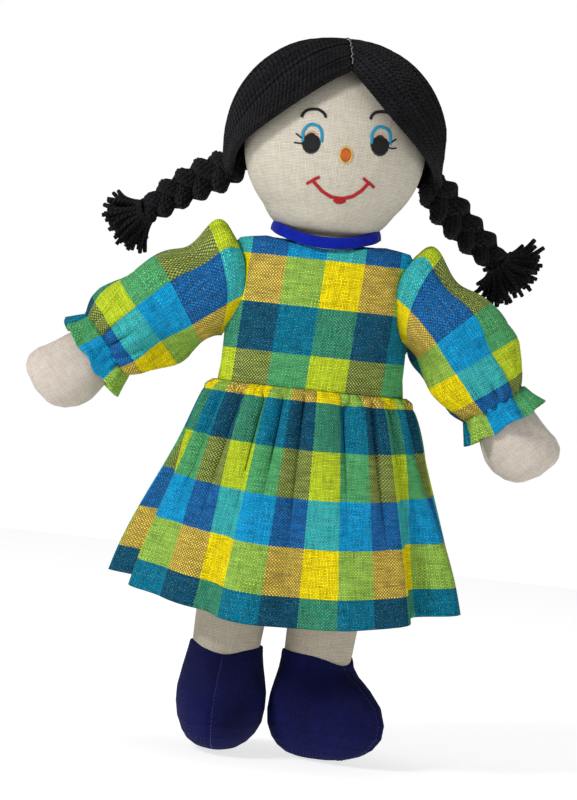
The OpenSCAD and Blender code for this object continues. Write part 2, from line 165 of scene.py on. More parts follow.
def woven(tree, source, pitch):
    # The weave on a surface. Its own UV map is the cloth as cut, 1 unit to 100 mm.
    if source == "uv":
        in_mm = grown(tree, cloth_uv(tree), 100.0)
    else:
        swap = tree.nodes.new("ShaderNodeMapping")
        swap.inputs["Rotation"].default_value = (math.radians(-90), 0, 0)
        tree.links.new(own_place(tree), swap.inputs[0])
        in_mm = grown(tree, swap.outputs[0], 1000.0)
    threads = tree.nodes.new("ShaderNodeGroup")
    threads.node_tree = weave
    threads.inputs["Pitch"].default_value = pitch
    tree.links.new(in_mm, threads.inputs["Thread mm"])
    return in_mm, threads.outputs


def own_place(tree):
    # Where a point lies on its own piece, in metres.
    return tree.nodes.new("ShaderNodeTexCoord").outputs["Object"]


def split_up(tree, vector):
    cut = tree.nodes.new("ShaderNodeSeparateXYZ")
    tree.links.new(vector, cut.inputs[0])
    return cut.outputs


def cloth_uv(tree):
    uv = tree.nodes.new("ShaderNodeUVMap")
    uv.uv_map = "cloth"
    return uv.outputs[0]


def grown(tree, vector, scale):
    grow = tree.nodes.new("ShaderNodeVectorMath")
    grow.operation = "SCALE"
    grow.inputs["Scale"].default_value = scale
    tree.links.new(vector, grow.inputs[0])
    return grow.outputs[0]


def spread_out(tree, value, low, high):
    spread = tree.nodes.new("ShaderNodeMapRange")
    spread.inputs[1].default_value = low
    spread.inputs[2].default_value = high
    tree.links.new(value, spread.inputs[0])
    return spread.outputs[0]


def cloth_shader(name, sheen, rough=0.9, sheen_tint=(1, 1, 1)):
    material = bpy.data.materials.new(name)
    material.use_nodes = True
    tree = material.node_tree
    shader = tree.nodes["Principled BSDF"]
    shader.inputs["Roughness"].default_value = rough
    shader.inputs["Specular IOR Level"].default_value = 0.06
    shader.inputs["Sheen Weight"].default_value = sheen
    shader.inputs["Sheen Roughness"].default_value = 0.5
    shader.inputs["Sheen Tint"].default_value = (*sheen_tint, 1)
    return material, tree, shader


def raise_by(tree, shader, height_value, depth, strength=1.0):
    bump = tree.nodes.new("ShaderNodeBump")
    bump.inputs["Distance"].default_value = depth
    bump.inputs["Strength"].default_value = strength
    tree.links.new(height_value, bump.inputs["Height"])
    tree.links.new(bump.outputs[0], shader.inputs["Normal"])


def calico_cloth(name, light, dark, source="uv", pitch=0.74):
    # Unbleached cotton: cream threads of uneven tone, with painted shade in the low points of the weave,
    # brown seed flecks and soft handling marks.
    material, tree, shader = cloth_shader(name, 0.05)
    place, threads = woven(tree, source, pitch)
    top = threads["Warp On Top"]
    tone = colour_mix(tree, top, threads["Weft Tone"], threads["Warp Tone"])
    base = colour_mix(tree, spread_out(tree, tone, 0.15, 0.85), dark, light)
    # The low points of the weave, where one thread dips under another, are darkened: painted shade in the
    # weave's hollows.
    weave_hollow_shade = mul_add(tree, threads["Height"], 0.55, 0.55)
    base = colour_mix(tree, 1.0, base, combine(tree, weave_hollow_shade, weave_hollow_shade, weave_hollow_shade), "MULTIPLY")
    seeds = above(tree, noise(tree, place, 0.9, 1.0), 0.71)
    base = colour_mix(tree, mul(tree, seeds, 0.35), base, linear(120, 96, 70))
    handling = noise(tree, place, 0.05, 3.0)
    base = colour_mix(tree, mul(tree, handling, 0.10), base, linear(150, 138, 118))
    tree.links.new(base, shader.inputs["Base Color"])
    raise_by(tree, shader, threads["Height"], 0.00022, 0.8)
    return material


skin_calico = calico_cloth("calico_plain", linear(226, 220, 206), linear(196, 186, 166), "object")
fibre, fibre_tree, fibre_shader = cloth_shader("stuffing_fibre", 0.5, 1.0)
fibre_noise = noise(fibre_tree, None, 300.0, 5.0)
fibre_tree.links.new(colour_mix(fibre_tree, fibre_noise, linear(205, 205, 200), linear(250, 250, 248)),
                     fibre_shader.inputs["Base Color"])
raise_by(fibre_tree, fibre_shader, fibre_noise, 0.0015)


def dress_node(node, material):
    cloth = frame["nodes"][node].data.materials
    cloth.clear()
    cloth.append(material)


for node in ("torso_front_panel", "torso_back_panel", "neck_tube", "hip_tabs",
             "shoulder_tab_left", "shoulder_tab_right"):
    dress_node(node, skin_calico)
dress_node("torso_stuffing", fibre)


# ---- Head ----
# A round head of calico, sewn from a front and a back panel and packed tight, so its threads
# stand out as fine upright ribs. It sits on the neck edge of the dress.

def ease(x, low, high):
    t = np.clip((x - low)/(high - low), 0, 1)
    return t*t*(3 - 2*t)


def middle(node):
    low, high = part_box(node)
    return (Vector(low) + Vector(high))/2


def span(node):
    low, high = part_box(node)
    return Vector(high) - Vector(low)


def take(name):
    # The piece that was just added, named and put at the origin with nothing else selected.
    piece = bpy.context.object
    piece.name = name
    piece.data.name = name
    bpy.ops.object.transform_apply(location=True, rotation=True, scale=True)
    return piece


def give_uv(piece, per_vertex, wrap=None):
    # The cloth as cut: one UV per vertex. Where the seam of a tube falls, the low side is
    # moved up by one turn so that no face runs back across the whole cloth.
    mesh = piece.data
    while mesh.uv_layers:
        mesh.uv_layers.remove(mesh.uv_layers[0])
    layer = mesh.uv_layers.new(name="cloth")
    index = np.empty(len(mesh.loops), dtype=np.int32)
    mesh.loops.foreach_get("vertex_index", index)
    uv = per_vertex[index].copy()
    if wrap:
        for face in mesh.polygons:
            loops = list(face.loop_indices)
            us = uv[loops, 0]
            if us.max() - us.min() > wrap/2:
                for k in loops:
                    if uv[k, 0] < us.max() - wrap/2:
                        uv[k, 0] += wrap
    layer.data.foreach_set("uv", uv.astype(np.float32).ravel())


def mould(name, segments, rings, shape, wrap=None):
    # A stuffed form: a closed ball whose skin is pushed out to shape. shape gets the way down
    # the ball from pole to pole, 0 to 1, and the angle round it, and gives places and cloth UV.
    bpy.ops.object.select_all(action="DESELECT")
    bpy.ops.mesh.primitive_uv_sphere_add(segments=segments, ring_count=rings, radius=1)
    piece = take(name)
    mesh = piece.data
    co = np.empty(len(mesh.vertices)*3)
    mesh.vertices.foreach_get("co", co)
    co = co.reshape(-1, 3)
    down = np.arccos(np.clip(co[:, 2], -1, 1))/math.pi
    turn = np.arctan2(co[:, 1], co[:, 0]) % (2*math.pi)
    places, uv = shape(down, turn)
    give_uv(piece, uv, wrap)
    mesh.vertices.foreach_set("co", places.ravel())
    mesh.update()
    bpy.ops.object.mode_set(mode="EDIT")
    bpy.ops.mesh.select_all(action="SELECT")
    bpy.ops.mesh.normals_make_consistent(inside=False)
    bpy.ops.object.mode_set(mode="OBJECT")
    bpy.ops.object.shade_smooth()
    return piece


def finish_piece(piece, material, body, nodes=()):
    piece.data.materials.clear()
    piece.data.materials.append(material)
    if nodes:
        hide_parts(*nodes)
    if body:
        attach(piece, body)
    return piece


head_low, head_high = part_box("head_back_panel")
head_r = (head_high[0] - head_low[0])/2
stuffing_low, stuffing_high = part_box("head_stuffing")
head_at = Vector((0, 0, stuffing_high[2] - (stuffing_high[0] - stuffing_low[0])/2))


def head_shape(down, turn):
    polar = down*math.pi
    side, rise = np.sin(polar), np.cos(polar)
    # Round over the face, fuller under the cheeks where the head settles into the collar.
    below = np.clip(-rise, 0, 1)
    squash = (np.abs(side)**2.5 + np.abs(rise)**2.5)**(-1/2.5)
    r = head_r*(1 + (squash - 1)*ease(below, 0.66, 0.90))
    r = r + 0.3*MM*np.sin(5*turn + 1.3)*np.sin(7*polar)*ease(below, 0.6, 0.9)
    places = np.stack([r*side*np.cos(turn), r*side*np.sin(turn), r*rise], 1) + np.array(head_at)
    from_front = (turn + math.pi/2) % (2*math.pi)
    uv = np.stack([from_front*head_r*10, (0.5 - down)*math.pi*head_r*10], 1)
    return places, uv


face_calico = calico_cloth("calico_face", linear(232, 226, 212), linear(200, 190, 170))
head = mould("head", 128, 96, head_shape, wrap=2*math.pi*head_r*10)
finish_piece(head, face_calico, "head", ("head_front_panel", "head_back_panel", "head_stuffing"))


# ---- Stitched face ----
# Machine satin stitch in silky thread: each feature is a row of short raised threads laid side by
# side across its line, or up and down a filled oval. The threads follow the round of the head.

def tubes(name, paths, sides=6):
    # Many round threads or yarns in one piece. Each path is (points, radius at each point).
    # Its UV runs along the yarn in hundredths of a millimetre and once round it.
    verts, faces, uvs = [], [], []
    base = 0
    ring = np.arange(sides)*2*math.pi/sides
    for points, radii in paths:
        points = np.asarray(points, dtype=float)
        n = len(points)
        tangent = np.gradient(points, axis=0)
        tangent /= np.linalg.norm(tangent, axis=1)[:, None] + 1e-12
        up = np.array([0.13, 0.21, 0.97]) if abs(tangent[0][2]) < 0.9 else np.array([0.97, 0.2, 0.13])
        normal = np.cross(tangent[0], up)
        normals = []
        for k in range(n):
            normal = normal - tangent[k]*np.dot(normal, tangent[k])
            normal /= np.linalg.norm(normal) + 1e-12
            normals.append(normal)
        normals = np.array(normals)
        binormals = np.cross(tangent, normals)
        radii = np.broadcast_to(np.asarray(radii, dtype=float), (n,))
        skin = (points[:, None] + radii[:, None, None]*(np.cos(ring)[None, :, None]*normals[:, None]
                + np.sin(ring)[None, :, None]*binormals[:, None])).reshape(-1, 3)
        verts.append(skin)
        verts.append(points[[0, -1]])
        length = np.concatenate([[0], np.cumsum(np.linalg.norm(np.diff(points, axis=0), axis=1))])*10
        uv = np.stack([np.repeat(length, sides), np.tile(ring/(2*math.pi), n)], 1)
        uvs.append(np.concatenate([uv, [[0, 0.5], [length[-1], 0.5]]]))
        for k in range(n - 1):
            for j in range(sides):
                a, b = base + k*sides + j, base + k*sides + (j + 1) % sides
                faces.append((a, b, b + sides, a + sides))
        start, end = base + n*sides, base + n*sides + 1
        for j in range(sides):
            faces.append((start, base + (j + 1) % sides, base + j))
            last = base + (n - 1)*sides
            faces.append((end, last + j, last + (j + 1) % sides))
        base += n*sides + 2
    mesh = bpy.data.meshes.new(name)
    mesh.from_pydata(np.concatenate(verts).tolist(), [], faces)
    piece = bpy.data.objects.new(name, mesh)
    bpy.context.collection.objects.link(piece)
    bpy.ops.object.select_all(action="DESELECT")
    piece.select_set(True)
    bpy.context.view_layer.objects.active = piece
    give_uv(piece, np.concatenate(uvs), None)
    layer = mesh.uv_layers["cloth"]
    flat = np.empty(len(mesh.loops)*2, dtype=np.float32)
    layer.data.foreach_get("uv", flat)
    flat = flat.reshape(-1, 2)
    starts = np.empty(len(mesh.polygons), dtype=np.int32)
    totals = np.empty(len(mesh.polygons), dtype=np.int32)
    mesh.polygons.foreach_get("loop_start", starts)
    mesh.polygons.foreach_get("loop_total", totals)
    quads = starts[totals == 4][:, None] + np.arange(4)[None, :]
    v = flat[quads, 1]
    v[(v.max(axis=1, keepdims=True) - v > 0.5)] += 1.0
    flat[quads, 1] = v
    layer.data.foreach_set("uv", flat.ravel())
    bpy.ops.object.shade_smooth()
    return piece


def on_head(x, z, lift):
    # A point of the face seen from the front, put on the round of the head.
    x, z = np.asarray(x, dtype=float), np.asarray(z, dtype=float)
    dz = z - head_at.z
    y = -np.sqrt(np.maximum((head_r + lift)**2 - x**2 - dz**2, 1e-8))
    return np.stack(np.broadcast_arrays(x, y, z), -1)


def satin(start, end, lift=0.00022, radius=0.00024):
    # One stitch from start to end, a little raised in the middle.
    t = np.linspace(0, 1, 5)
    x = start[0] + (end[0] - start[0])*t
    z = start[1] + (end[1] - start[1])*t
    puff = lift*np.array([0.1, 0.8, 1.0, 0.8, 0.1])
    return on_head(x, z, 0.0001 + puff), radius*np.array([0.5, 1, 1, 1, 0.5])


def satin_line(line, width, pitch=0.00036, slant=0.25):
    # Stitches across a line of points in the face's plane, side by side.
    line = np.asarray(line, dtype=float)
    steps = np.concatenate([[0], np.cumsum(np.linalg.norm(np.diff(line, axis=0), axis=1))])
    count = max(3, int(steps[-1]/pitch))
    stitches = []

    def on_line(s):
        return np.array([np.interp(s, steps, line[:, 0]), np.interp(s, steps, line[:, 1])])

    for k in range(count + 1):
        s = steps[-1]*k/count
        p = on_line(s)
        ahead = on_line(min(s + 1e-4, steps[-1])) - on_line(max(s - 1e-4, 0))
        t = ahead/(np.linalg.norm(ahead) + 1e-12)
        n = np.array([-t[1], t[0]]) + slant*t
        n /= np.linalg.norm(n)
        w = width(k/count)/2 if callable(width) else width*0.5
        jitter = 0.00008*math.sin(k*12.9898)
        stitches.append(satin(p - n*(w + jitter), p + n*(w - jitter)))
    return stitches


def satin_oval(centre, w, h, tilt, pitch=0.00036):
    # A filled oval of upright stitches.
    stitches = []
    count = int(w/pitch)
    c, s = math.cos(tilt), math.sin(tilt)

    def turned(a, b):
        return centre[0] + a*c - b*s, centre[1] + a*s + b*c

    for k in range(count + 1):
        x = (k/count - 0.5)*w*0.985
        half = h/2*math.sqrt(max(0.0, 1 - (2*x/w)**2)) + 0.0001*math.sin(k*7.7)
        if half < 0.0003:
            continue
        stitches.append(satin(turned(x, -half), turned(x, half)))
    return stitches


def plies(tree, tightness):
    # Two plies twisted round each other, from the UV along and round the yarn.
    along, around = split_up(tree, cloth_uv(tree))[:2]
    return sine(tree, add(tree, mul(tree, along, tightness), mul(tree, around, 4*math.pi)))


def thread(name, colour, glow):
    # Silky embroidery thread: a smooth gleam, and two plies that twist.
    material, tree, shader = cloth_shader(name, 0.05, 0.42)
    shader.inputs["Specular IOR Level"].default_value = 0.3
    twist = plies(tree, 900.0)
    uneven = noise(tree, own_place(tree), 900.0, 2.0)
    shade = colour_mix(tree, mul_add(tree, twist, 0.2, uneven, clamp=True), colour, glow)
    tree.links.new(shade, shader.inputs["Base Color"])
    raise_by(tree, shader, twist, 0.00006)
    return material


black_thread = thread("thread_black", linear(7, 6, 8), linear(22, 21, 24))
blue_thread = thread("thread_turquoise", linear(12, 128, 168), linear(40, 168, 205))
orange_thread = thread("thread_orange", linear(178, 82, 20), linear(222, 120, 40))
yellow_thread = thread("thread_yellow", linear(205, 160, 60), linear(240, 205, 110))
red_thread = thread("thread_red", linear(165, 12, 26), linear(204, 30, 42))
pink_thread = thread("thread_pink", linear(196, 150, 132), linear(220, 180, 160))
face_tilt = math.radians(4.5)


def arch_line(centre, half_w, rise, legs, tilt, n=25):
    # A bow over the eye: half an oval, with straight legs down from its ends.
    a = np.linspace(0, math.pi, n)
    x = -half_w*np.cos(a)
    z = rise*np.sin(a)
    if legs:
        x = np.concatenate([[-half_w*0.98], x, [half_w*0.98]])
        z = np.concatenate([[-legs], z, [-legs]])
    c, s = math.cos(tilt), math.sin(tilt)
    return np.stack([centre[0] + x*c - z*s, centre[1] + x*s + z*c], 1)


for side, word in side_name.items():
    pupil_mid, pupil_size = middle("pupil_" + word), span("pupil_" + word)
    brow_mid, brow_size = middle("eyebrow_" + word), span("eyebrow_" + word)
    eye = (pupil_mid.x, pupil_mid.z)
    pupil = tubes("pupil_" + word + "_stitching", satin_oval(eye, pupil_size.x, pupil_size.z, face_tilt))
    finish_piece(pupil, black_thread, "head", ("pupil_" + word,))
    # A few pink stitches edge the top of the pupil.
    rim = arch_line((eye[0], eye[1]), pupil_size.x*0.45, pupil_size.z*0.54, 0, face_tilt)
    edge = tubes("pupil_" + word + "_edge", satin_line(rim[6:19], 0.0008))
    finish_piece(edge, pink_thread, "head")
    lid = arch_line((eye[0] + 0.0002, eye[1] + 4.3*MM), 4.6*MM, 4.9*MM, 3.4*MM, face_tilt)
    eyelid = tubes("eyelid_" + word + "_stitching", satin_line(lid, 1.6*MM))
    finish_piece(eyelid, blue_thread, "head", ("eyelid_" + word,))
    brow_line = arch_line((brow_mid.x, brow_mid.z - 2.0*MM), brow_size.x*0.43, 4.0*MM, 0, face_tilt)
    brow = tubes("eyebrow_" + word + "_stitching", satin_line(brow_line, 1.5*MM))
    finish_piece(brow, black_thread, "head", ("eyebrow_" + word,))
    lashes = []
    for low, out, up in ((-0.4, 3.9, 0.2), (1.9, 3.4, 2.2)):
        a = (eye[0] + side*4.2*MM, eye[1] + low*MM)
        b = (a[0] + side*out*MM, a[1] + up*MM)
        lashes += satin_line([a, ((a[0] + b[0])/2, (a[1] + b[1])/2 - 0.25*MM), b], 0.75*MM)
    lash = tubes("eyelashes_" + word + "_stitching", lashes)
    finish_piece(lash, black_thread, "head", ("eyelashes_" + word,))

nose_mid, nose_size = middle("nose"), span("nose")
nose = tubes("nose_stitching", satin_oval((nose_mid.x, nose_mid.z), nose_size.x, nose_size.z, face_tilt))
finish_piece(nose, orange_thread, "head", ("nose",))
around = np.linspace(0, 2*math.pi, 49)
nose_ring = np.stack([nose_mid.x + 2.95*MM*np.cos(around), nose_mid.z + 3.8*MM*np.sin(around)], 1)
nose_edge = tubes("nose_outline_stitching", satin_line(nose_ring, 0.85*MM))
finish_piece(nose_edge, yellow_thread, "head", ("nose_outline",))

mouth_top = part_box("mouth")[1][2]
smile_half = 13.6*MM
smile_mid = (middle("mouth").x, mouth_top - 4.2*MM)
smile_a = np.linspace(-1, 1, 41)
smile_x, smile_z = smile_half*smile_a, -8.1*MM*(1 - np.abs(smile_a)**2.2)
tilt_c, tilt_s = math.cos(math.radians(3.5)), math.sin(math.radians(3.5))
smile = np.stack([smile_mid[0] + smile_x*tilt_c - smile_z*tilt_s,
                  smile_mid[1] + smile_x*tilt_s + smile_z*tilt_c], 1)
lips = satin_line(smile, 1.75*MM)
for end, lean in ((smile[0], 1), (smile[-1], -1)):
    # A short slanted bar closes each end of the smile.
    d = np.array([math.cos(math.radians(33)), lean*math.sin(math.radians(33))])
    lips += satin_line([end - d*3.4*MM, end, end + d*3.4*MM], 1.5*MM)
chin = smile[20]
lips += satin_line([chin + (-2.7*MM, -1.2*MM), chin + (0, -1.5*MM), chin + (2.7*MM, -1.1*MM)],
                   lambda f: 1.3*MM + 1.5*MM*math.sin(math.pi*f))
mouth = tubes("mouth_stitching", lips)
finish_piece(mouth, red_thread, "head", ("mouth",))


# ---- Hair ----
# Lengths of fine black wool are laid across the head from a middle parting, sewn down along it,
# and swept over each side to the ear, where each half is caught together for its plait.

def wool(name, dark, light):
    # Black knitting wool: two plies twist round each other, and loose fibres catch the light.
    material, tree, shader = cloth_shader(name, 0.05, 0.8, (0.5, 0.5, 0.55))
    place = own_place(tree)
    fuzz = noise(tree, place, 1500.0, 3.0)
    clump = noise(tree, place, 130.0, 2.0)
    fleck = above(tree, fuzz, 0.60)
    factor = add(tree, mul(tree, fleck, 0.55), mul(tree, clump, 0.35), clamp=True)
    tree.links.new(colour_mix(tree, factor, dark, light), shader.inputs["Base Color"])
    raise_by(tree, shader, mul_add(tree, fuzz, 0.6, plies(tree, 260.0)), 0.00035)
    return material


black_wool = wool("wool_black", linear(4, 4, 5), linear(50, 49, 52))
yarn_r = 1.1*MM
hair_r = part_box("hair_left")[1][2] - head_at.z - 1.5*MM
hair_mid = Vector((0, 0, head_at.z + 1.5*MM))
look_x = math.sin(math.radians(6))
look_y = -math.cos(math.radians(6))
part_from, part_to = math.radians(43.5), math.radians(218)


def unit(v):
    v = np.asarray(v, dtype=float)
    return v/np.linalg.norm(v)


def braid_frame(side):
    root = np.array(joint["braid_" + side_name[side] + "_swing"]["pos_m"])
    tip = np.array(middle("tassel_" + side_name[side]))
    way = unit(tip - root)
    first = unit(np.cross(way, [0, 1, 0]))
    return root, way, first, np.cross(way, first)


# Where a yarn lies halfway from the parting to the ear, from the brow round to the nape.
halfway = [(0.0, (0.62, -0.77, 0.14)), (0.12, (0.72, -0.65, 0.26)), (0.32, (0.84, -0.22, 0.48)),
           (0.52, (0.82, 0.16, 0.54)), (0.76, (0.72, 0.60, 0.34)), (1.0, (0.50, 0.82, -0.28))]


def hair_path(side, w, depth, steps=24):
    a = part_from + (part_to - part_from)*w
    start = unit([look_x*math.cos(a), look_y*math.cos(a), math.sin(a)])
    keys = [k for k, _ in halfway]
    mid = unit([np.interp(w, keys, [m[c] for _, m in halfway]) for c in range(3)])
    mid = np.array([side*mid[0], mid[1], mid[2]])
    root, way, first, second = braid_frame(side)
    goal = unit(root - np.array(hair_mid))
    pull = (4*mid - start - goal)/2
    t = np.linspace(0, 1, steps)[:, None]
    path = (1 - t)**2*start + 2*t*(1 - t)*pull + t**2*goal
    path /= np.linalg.norm(path, axis=1)[:, None]
    swell = 0.955 + 0.05*np.sin(np.clip(t*1.6, 0, 1)*math.pi/2) - 0.035*np.clip((t - 0.8)/0.2, 0, 1)
    path = path*(hair_r*swell - yarn_r - depth) + np.array(hair_mid)
    shift = np.array([-look_y, look_x, 0])*side*(1.1*MM)
    path += shift*(1 - t)**3
    # The yarns draw together into a round bundle at the ear.
    angle = 2*math.pi*w + 0.6
    bundle = 0.0072 - depth*1.3
    end = root - way*0.002 + first*bundle*math.cos(angle) + second*bundle*math.sin(angle)
    draw = np.clip((t - 0.70)/0.30, 0, 1)**1.6
    return path*(1 - draw) + end*draw


def hair_half(side):
    rng = random.Random(11 + side)
    yarns = []
    for depth, count in ((0.0, 104), (1.9*MM, 96)):
        for k in range(count):
            w = (k + 0.5*(depth > 0))/(count - 1 + (depth > 0))
            # Every third yarn sinks a little, so the outer layer lies in narrow locks.
            sunk = 0.8*MM if k % 3 == 0 and depth == 0 else 0.0
            path = hair_path(side, w + rng.uniform(-0.003, 0.003), depth + sunk + rng.uniform(-0.45, 0.35)*MM)
            path = path + np.array([rng.uniform(-0.15, 0.15)*MM for _ in range(3)])
            yarns.append((path, yarn_r*rng.uniform(0.9, 1.06)))
    return tubes("hair_" + side_name[side] + "_yarns", yarns)


for side in (LEFT, RIGHT):
    half = hair_half(side)
    finish_piece(half, black_wool, "head", ("hair_" + side_name[side],))

# A thin black cap under the yarns, so that no calico shows between them.
def cap_shape(down, turn):
    polar = down*math.pi
    d = np.stack([np.sin(polar)*np.cos(turn), np.sin(polar)*np.sin(turn), np.cos(polar)], 1)
    return d*(head_r + 3.0*MM) + np.array(head_at), np.stack([turn*head_r*10, down*1.4], 1)


cap = mould("hair_backing", 96, 72, cap_shape)
# The lower edge of the cap over the brow: how far across and how high from the head's centre, mm.
brow_edge = [(-60, 4), (-38, 10), (-28, 18), (-18, 27), (-8, 35), (6, 44), (17, 36), (26, 28),
             (34, 14), (40, 6), (60, 2)]
bpy.ops.object.mode_set(mode="EDIT")
bpy.ops.mesh.select_mode(type="FACE")
bpy.ops.mesh.select_all(action="DESELECT")
bpy.ops.object.mode_set(mode="OBJECT")
for face in cap.data.polygons:
    x, y, z = (face.center - head_at)/MM
    edge_z = np.interp(x, [p[0] for p in brow_edge], [p[1] for p in brow_edge])
    face.select = bool((y < 4 and z < edge_z) or z < -13 or (y < 12 and z < -4))
bpy.ops.object.mode_set(mode="EDIT")
bpy.ops.mesh.delete(type="FACE")
bpy.ops.object.mode_set(mode="OBJECT")
finish_piece(cap, black_wool, "head")

# The parting is held by backstitches of dark thread with a paler twist.
stitch_grey = thread("thread_grey", linear(70, 68, 70), linear(150, 148, 150))
part_stitches = []
for k in range(44):
    a = part_from + 0.06 + (part_to - part_from)*0.62*k/43
    points = []
    for e in (-0.5, -0.25, 0, 0.25, 0.5):
        c = a + e*0.040
        r = hair_r*0.958 + 0.25*MM*math.cos(e*math.pi)
        sideways = 0.35*MM*math.sin(k*2.4)
        points.append([r*look_x*math.cos(c) + sideways, r*look_y*math.cos(c), hair_mid.z + r*math.sin(c)])
    part_stitches.append((points, 0.3*MM))
parting = tubes("parting_backstitch", part_stitches)
finish_piece(parting, stitch_grey, "head", ("parting_stitches",))


# ---- Plaits, ties and tassels ----
# The wool of each side is parted in three and plaited, bound with a turn of the same wool, and cut
# off straight, so the ends below the tie spring apart into a brush.
plait_len = 57*MM
lobe_pitch = 12.8*MM


def plait_paths(side):
    root, way, first, second = braid_frame(side)
    rng = random.Random(29 + side)
    yarns = []
    s = np.linspace(-7*MM, plait_len + 1.5*MM, 74)
    period = 3*lobe_pitch
    shrink = np.interp(s, [-7*MM, 0, 8*MM, plait_len*0.8, plait_len + 1.5*MM], [0.62, 0.86, 1.0, 0.80, 0.52])
    bend = 1.8*MM*np.sin(np.clip(s/plait_len, 0, 1)*math.pi)
    for k in range(3):
        phase = 2*math.pi*s/period + 2*math.pi*k/3 + (0.5 if side == LEFT else 2.1)
        centre = (root + way*s[:, None] + first*((5.6*MM*np.sin(phase) - bend)*shrink)[:, None]
                  + second*(3.2*MM*np.sin(2*phase)*shrink)[:, None])
        yarns.append((centre, 4.3*MM*shrink))
        for m in range(11):
            spin = 2*math.pi*m/11 + 2*math.pi*s/(60*MM) + rng.uniform(-0.1, 0.1)
            r = (4.5*MM*shrink)*(1 + rng.uniform(-0.03, 0.03))
            edge = centre + first*(r*np.cos(spin))[:, None] + second*(r*np.sin(spin))[:, None]
            yarns.append((edge, 1.3*MM*(0.75 + 0.25*shrink)*rng.uniform(0.92, 1.05)))
    return yarns


def tie_paths(side):
    root, way, first, second = braid_frame(side)
    turn = np.linspace(0, 2*math.pi*4.5, 110)
    s = plait_len + 0.2*MM + 3.0*MM*turn/turn[-1]
    points = (root + way*s[:, None] + first*(6.1*MM*np.cos(turn))[:, None]
              + second*(5.4*MM*np.sin(turn))[:, None])
    return [(points, 0.75*MM)]


def tassel_paths(side):
    root, way, first, second = braid_frame(side)
    rng = random.Random(53 + side)
    fan = 62 if side == LEFT else 40
    yarns = []
    for k in range(84):
        around = k*2.39996
        out = math.sqrt((k + 0.5)/84)
        spread = math.radians(fan)*out**1.1
        base = (root + way*(plait_len + 1.5*MM) + first*(5.2*MM*out*math.cos(around))
                + second*(4.6*MM*out*math.sin(around)))
        sway = first*math.cos(around) + second*math.sin(around)*0.75
        length = (22.0 - 2.0*out + rng.uniform(-3.5, 2.0))*MM
        t = np.linspace(0, 1, 9)[:, None]
        lean = spread*(0.55 + 0.45*t)
        curl = rng.uniform(-1, 1)*2.4*MM
        points = base + length*t*(way*np.cos(lean) + sway*np.sin(lean)) \
            + np.cross(way, sway)*curl*np.sin(t*math.pi*1.1)
        yarns.append((points, (yarn_r*np.array([1, 1, 1, 1, 1, 1, 1.02, 1.12, 1.02]))*rng.uniform(0.9, 1.08)))
    return yarns


for side, word in side_name.items():
    plait = tubes("plait_" + word + "_yarns", plait_paths(side))
    finish_piece(plait, black_wool, "braid_" + word, ("plait_" + word,))
    tie = tubes("braid_tie_" + word + "_yarn", tie_paths(side))
    finish_piece(tie, black_wool, "braid_" + word, ("braid_tie_" + word,))
    tassel = tubes("tassel_" + word + "_yarns", tassel_paths(side), sides=7)
    finish_piece(tassel, black_wool, "braid_" + word, ("tassel_" + word,))


# ---- Bodice ----
# Handloom cotton in a large check: four weft colours cross three warp colours, so each square is
# a blend of two yarns. The front is one panel and the back two, sewn at the sides and shoulders.

def ramp(tree, factor, colours):
    node = tree.nodes.new("ShaderNodeValToRGB")
    node.color_ramp.interpolation = "CONSTANT"
    stops = node.color_ramp.elements
    while len(stops) > 1:
        stops.remove(stops[-1])
    for k, colour in enumerate(colours):
        stop = stops[0] if k == 0 else stops.new(k/len(colours))
        stop.position = k/len(colours)
        stop.color = (*colour, 1)
    tree.links.new(factor, node.inputs[0])
    return node.outputs[0]


warp_pitch, weft_pitch = 19.6, 23.6
warp_dyes = [linear(35, 22, 50), linear(0, 120, 150), linear(245, 225, 60)]
weft_dyes = [linear(10, 110, 205), linear(252, 218, 30), linear(5, 88, 112), linear(172, 206, 50)]
warp_shows = (0.62, 0.24, 0.10)
squares = {
    "blue": [linear(27, 98, 160), linear(15, 150, 205), linear(25, 178, 180)],
    "yellow": [linear(196, 170, 75), linear(150, 190, 80), linear(240, 218, 15)],
    "teal": [linear(14, 80, 108), linear(9, 115, 145), linear(27, 139, 110)],
    "lime": [linear(126, 140, 70), linear(83, 165, 105), linear(190, 210, 45)],
}
for weft_dye, seen in zip(weft_dyes, squares.values()):
    # What the square still needs once its own two yarns are drawn over it.
    for k, (warp_dye, shows) in enumerate(zip(warp_dyes, warp_shows)):
        seen[k] = tuple(min(1.0, max(0.0, (c - shows*(a + b)/2)/(1 - shows)))
                        for c, a, b in zip(seen[k], warp_dye, weft_dye))

check = new_group("handloom check", [("Thread mm", "Vector", None), ("Warp On Top", "Float", 0.0),
                                     ("Height", "Float", 0.5), ("Weft Tone", "Float", 0.5),
                                     ("Warp Tone", "Float", 0.5)], [("Color", "Color")])
c_in = check.nodes.new("NodeGroupInput")
c_out = check.nodes.new("NodeGroupOutput")
cut = check.nodes.new("ShaderNodeSeparateXYZ")
check.links.new(c_in.outputs["Thread mm"], cut.inputs[0])
ragged = mul_add(check, noise(check, c_in.outputs["Thread mm"], 1.6, 0.0), 0.5, -0.25)
warp_at = fract(check, divide(check, add(check, cut.outputs[0], ragged),
                                              3*warp_pitch))
weft_at = fract(check, divide(check, add(check, cut.outputs[1], ragged),
                                              4*weft_pitch))
square = ramp(check, warp_at, squares["blue"])
for k, dye in enumerate(("yellow", "teal", "lime")):
    past = above(check, weft_at, (k + 1)/4)
    square = colour_mix(check, past, square, ramp(check, warp_at, squares[dye]))
top_dye = colour_mix(check, c_in.outputs["Warp On Top"], ramp(check, weft_at, weft_dyes),
                     ramp(check, warp_at, warp_dyes))
shows_at = ramp(check, warp_at, [(shows,)*3 for shows in warp_shows])
cloth_colour = colour_mix(check, shows_at, square, top_dye)
tone = colour_mix(check, c_in.outputs["Warp On Top"], c_in.outputs["Weft Tone"], c_in.outputs["Warp Tone"])
